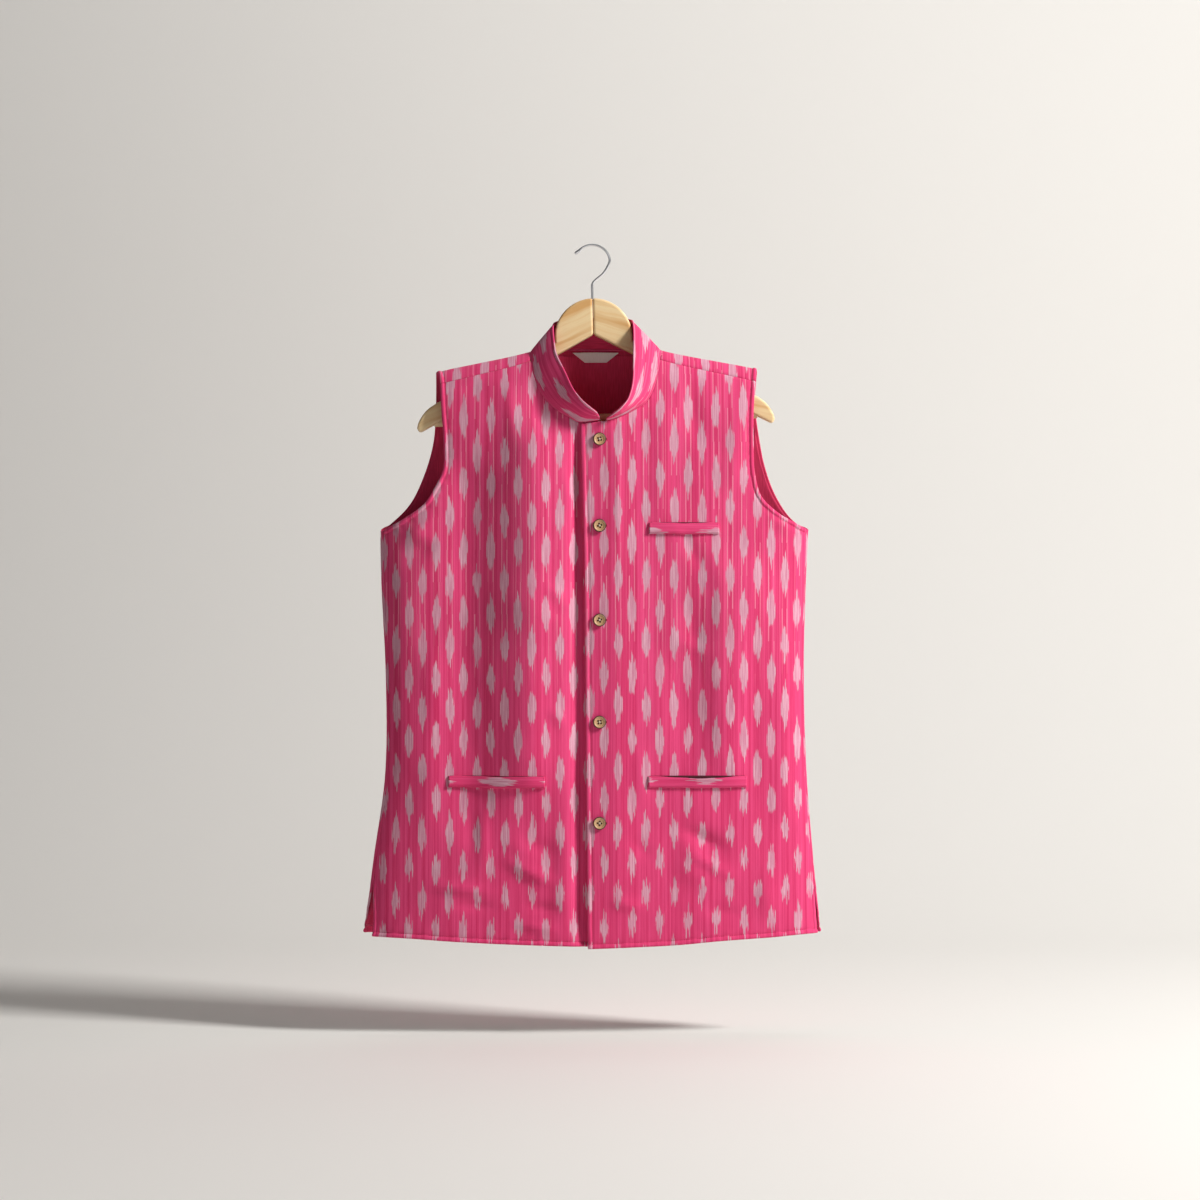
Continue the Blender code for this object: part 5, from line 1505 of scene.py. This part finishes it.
def bead():
    """Vertices and faces of one stitch of unit length along X and unit radius."""
    rings = ((-0.42, 0.75), (-0.2, 1.0), (0.2, 1.0), (0.42, 0.75))
    turn = np.arange(STITCH_SIDES) * 2 * math.pi / STITCH_SIDES
    points = [(x, r * math.cos(a), r * math.sin(a)) for x, r in rings for a in turn]
    points = np.array(points + [(-0.5, 0, 0), (0.5, 0, 0)])
    n, last = STITCH_SIDES, len(rings) * STITCH_SIDES
    faces = []
    for k in range(len(rings) - 1):
        for j in range(n):
            a, b = k * n + j, k * n + (j + 1) % n
            faces += [(a, b, b + n), (a, b + n, a + n)]
    for j in range(n):
        faces.append((last, (j + 1) % n, j))
        faces.append((last + 1, last - n + j, last - n + (j + 1) % n))
    return points, np.array(faces)[:, ::-1]


def stitches(name, line, thread, pitch=STITCH_PITCH, length=STITCH_LENGTH):
    """A run of separate stitches along a line of points."""
    run = lengths(line)
    count = max(int(run[-1] / pitch), 1)
    middle = (np.arange(count) + 0.5) * run[-1] / count
    ends = [np.stack([np.interp(middle + s * length / 2, run, line[:, k]) for k in range(3)], axis=-1)
            for s in (-1, 1)]
    along = ends[1] - ends[0]
    along /= np.linalg.norm(along, axis=-1, keepdims=True)
    side = np.cross(along, [0.0, 1.0, 0.31])
    side /= np.linalg.norm(side, axis=-1, keepdims=True)
    other = np.cross(along, side)
    shape, faces = bead()
    points = ((ends[0] + ends[1])[:, None] / 2 + shape[None, :, :1] * (along * length)[:, None]
              + shape[None, :, 1:2] * (side * STITCH_RADIUS)[:, None]
              + shape[None, :, 2:] * (other * STITCH_RADIUS)[:, None])
    faces = faces[None] + np.arange(count)[:, None, None] * len(shape)
    mesh = bpy.data.meshes.new(name)
    mesh.from_pydata(points.reshape(-1, 3).tolist(), [], faces.reshape(-1, 3).tolist())
    return put(name, mesh, thread)


def inset_line(surface, line, distance):
    """A line of coordinates moved in from an edge by a distance over the cloth."""
    step = NORMAL_STEP
    across = (surface(line + [step, 0]) - surface(line - [step, 0])) / (2 * step)
    up = (surface(line + [0, step]) - surface(line - [0, step])) / (2 * step)
    points = surface(line)
    along = np.gradient(points, axis=0)
    inward = np.cross(np.cross(across, up), along)
    inward /= np.linalg.norm(inward, axis=-1, keepdims=True)
    a, b, c = (across ** 2).sum(-1), (across * up).sum(-1), (up ** 2).sum(-1)
    p, q = (inward * across).sum(-1), (inward * up).sum(-1)
    free = a * c - b * b
    return line + distance * np.stack([(c * p - b * q) / free, (a * q - b * p) / free], axis=-1)


def stitch_line(name, surface, line, style, middle):
    """Stitches at the distance that an edge's style gives, on the side of the panel's middle,
    sunk in their groove."""
    share = np.linspace(0, 1, len(line))
    at = np.linspace(0, 1, STITCH_LINE_POINTS)
    line = np.stack([np.interp(at, share, line[:, k]) for k in (0, 1)], axis=-1)
    tries = [inset_line(surface, line, sign * EDGES[style][0]) for sign in (-1, 1)]
    half = STITCH_LINE_POINTS // 2
    gaps = [np.linalg.norm(surface(t[half:half + 1]) - middle) for t in tries]
    chosen = tries[int(np.argmin(gaps))][4:-4]
    points, normal = surface(chosen), outward(surface, chosen)
    thread = THREADS["deep" if style == "hem" else "pink"]    # the hem's thread is darker: painted shade of its groove
    stitches(name, points - normal * (GROOVE_DEPTH - STITCH_RADIUS * 1.1), thread)


# --- the studio -------------------------------------------------------------------------------
def make_stage():
    """A pale floor that sweeps up into a backdrop."""
    turn = np.linspace(0, math.pi / 2, 24)
    y = np.concatenate([[FLOOR_FRONT_Y], BACKDROP_Y - SWEEP * (1 - np.sin(turn)), [BACKDROP_Y]])
    z = np.concatenate([[FLOOR_Z], FLOOR_Z + SWEEP * (1 - np.cos(turn)), [FLOOR_Z + BACKDROP_HEIGHT]])
    points = [(x, a, b) for a, b in zip(y, z) for x in (-BACKDROP_HALF_WIDTH, BACKDROP_HALF_WIDTH)]
    faces = [(2 * k, 2 * k + 1, 2 * k + 3, 2 * k + 2) for k in range(len(y) - 1)]
    mesh = bpy.data.meshes.new("studio_sweep")
    mesh.from_pydata(points, [], faces)
    mesh.shade_smooth()
    mesh.materials.append(plain("studio_paper", BACKDROP, 0.9))
    sweep = bpy.data.objects.new("studio_sweep", mesh)
    bpy.context.scene.collection.objects.link(sweep)


def make_light(name, place, aim, size, power, colour):
    data = bpy.data.lights.new(name, "AREA")
    data.shape = "RECTANGLE"
    data.size, data.size_y = size
    data.energy = power
    data.color = colour
    lamp = bpy.data.objects.new(name, data)
    bpy.context.scene.collection.objects.link(lamp)
    lamp.location = place
    lamp.rotation_euler = (Vector(aim) - Vector(place)).to_track_quat("-Z", "Y").to_euler()


def make_studio():
    scene = bpy.context.scene
    scene.view_settings.view_transform = "Standard"
    make_stage()
    for row in LIGHTS:
        make_light(*row)
    world = bpy.data.worlds.new("studio")
    scene.world = world
    world.use_nodes = True
    sky = world.node_tree.nodes["Background"]
    sky.inputs["Color"].default_value = (*WORLD_COLOUR, 1)
    sky.inputs["Strength"].default_value = WORLD_STRENGTH
    data = bpy.data.cameras.new("camera")
    data.sensor_width = SENSOR_MM
    data.lens = SENSOR_MM * CAMERA_DISTANCE / FRAME_WIDTH
    camera = bpy.data.objects.new("camera", data)
    scene.collection.objects.link(camera)
    camera.location = (CAMERA_AIM[0], -CAMERA_DISTANCE, CAMERA_AIM[1])
    camera.rotation_euler = (math.pi / 2, 0, 0)
    scene.camera = camera


# --- everything -------------------------------------------------------------------------------
def finish_hanger():
    """The hanger keeps its CAD shape, and gets wood grain and steel."""
    finishes = {"hanger_arm_left": pine("pine_left", math.radians(24), 0.31),
                "hanger_arm_right": pine("pine_right", math.radians(-16), 0.83),
                "trouser_bar": pine("pine_bar", 0.0, 1.7),
                "hook": plain("steel_wire", STEEL, 0.28, 1.0)}
    for name, look in finishes.items():
        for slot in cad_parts[name].material_slots:
            slot.material = look


def main():
    ikat = ikat_cotton()
    lining = plain_cloth("plain_lining", LINING_DARK, LINING_LIGHT)
    # near-black finish: painted shade in the pockets' openings
    mouth = plain_cloth("pocket_mouth", PAINTED_SHADE_DARK, PAINTED_SHADE_LIGHT, 0.0)
    label = plain_cloth("woven_label", LABEL_DARK, LABEL_LIGHT)
    THREADS.update(pink=plain("thread_pink", THREAD_PINK, 0.6),
                   # darker thread: painted shade of the hem's groove and round the buttonholes
                   deep=plain("thread_deep", THREAD_PAINTED_SHADE, 0.7),
                   # near-black: painted shade in the buttonholes' slits
                   slit=plain("buttonhole_slit", PAINTED_SHADE_DARK, 0.9),
                   white=plain("thread_white", THREAD_WHITE, 0.6))
    make_studio()
    make_front("top", "front_left", [ikat, lining])
    make_front("under", "front_right", [ikat, lining])
    make_back([ikat, lining], lining)
    make_collar([ikat, lining], lining)
    make_welts([ikat, ikat], mouth)
    make_label(label)
    make_buttons(coconut())
    finish_hanger()


main()
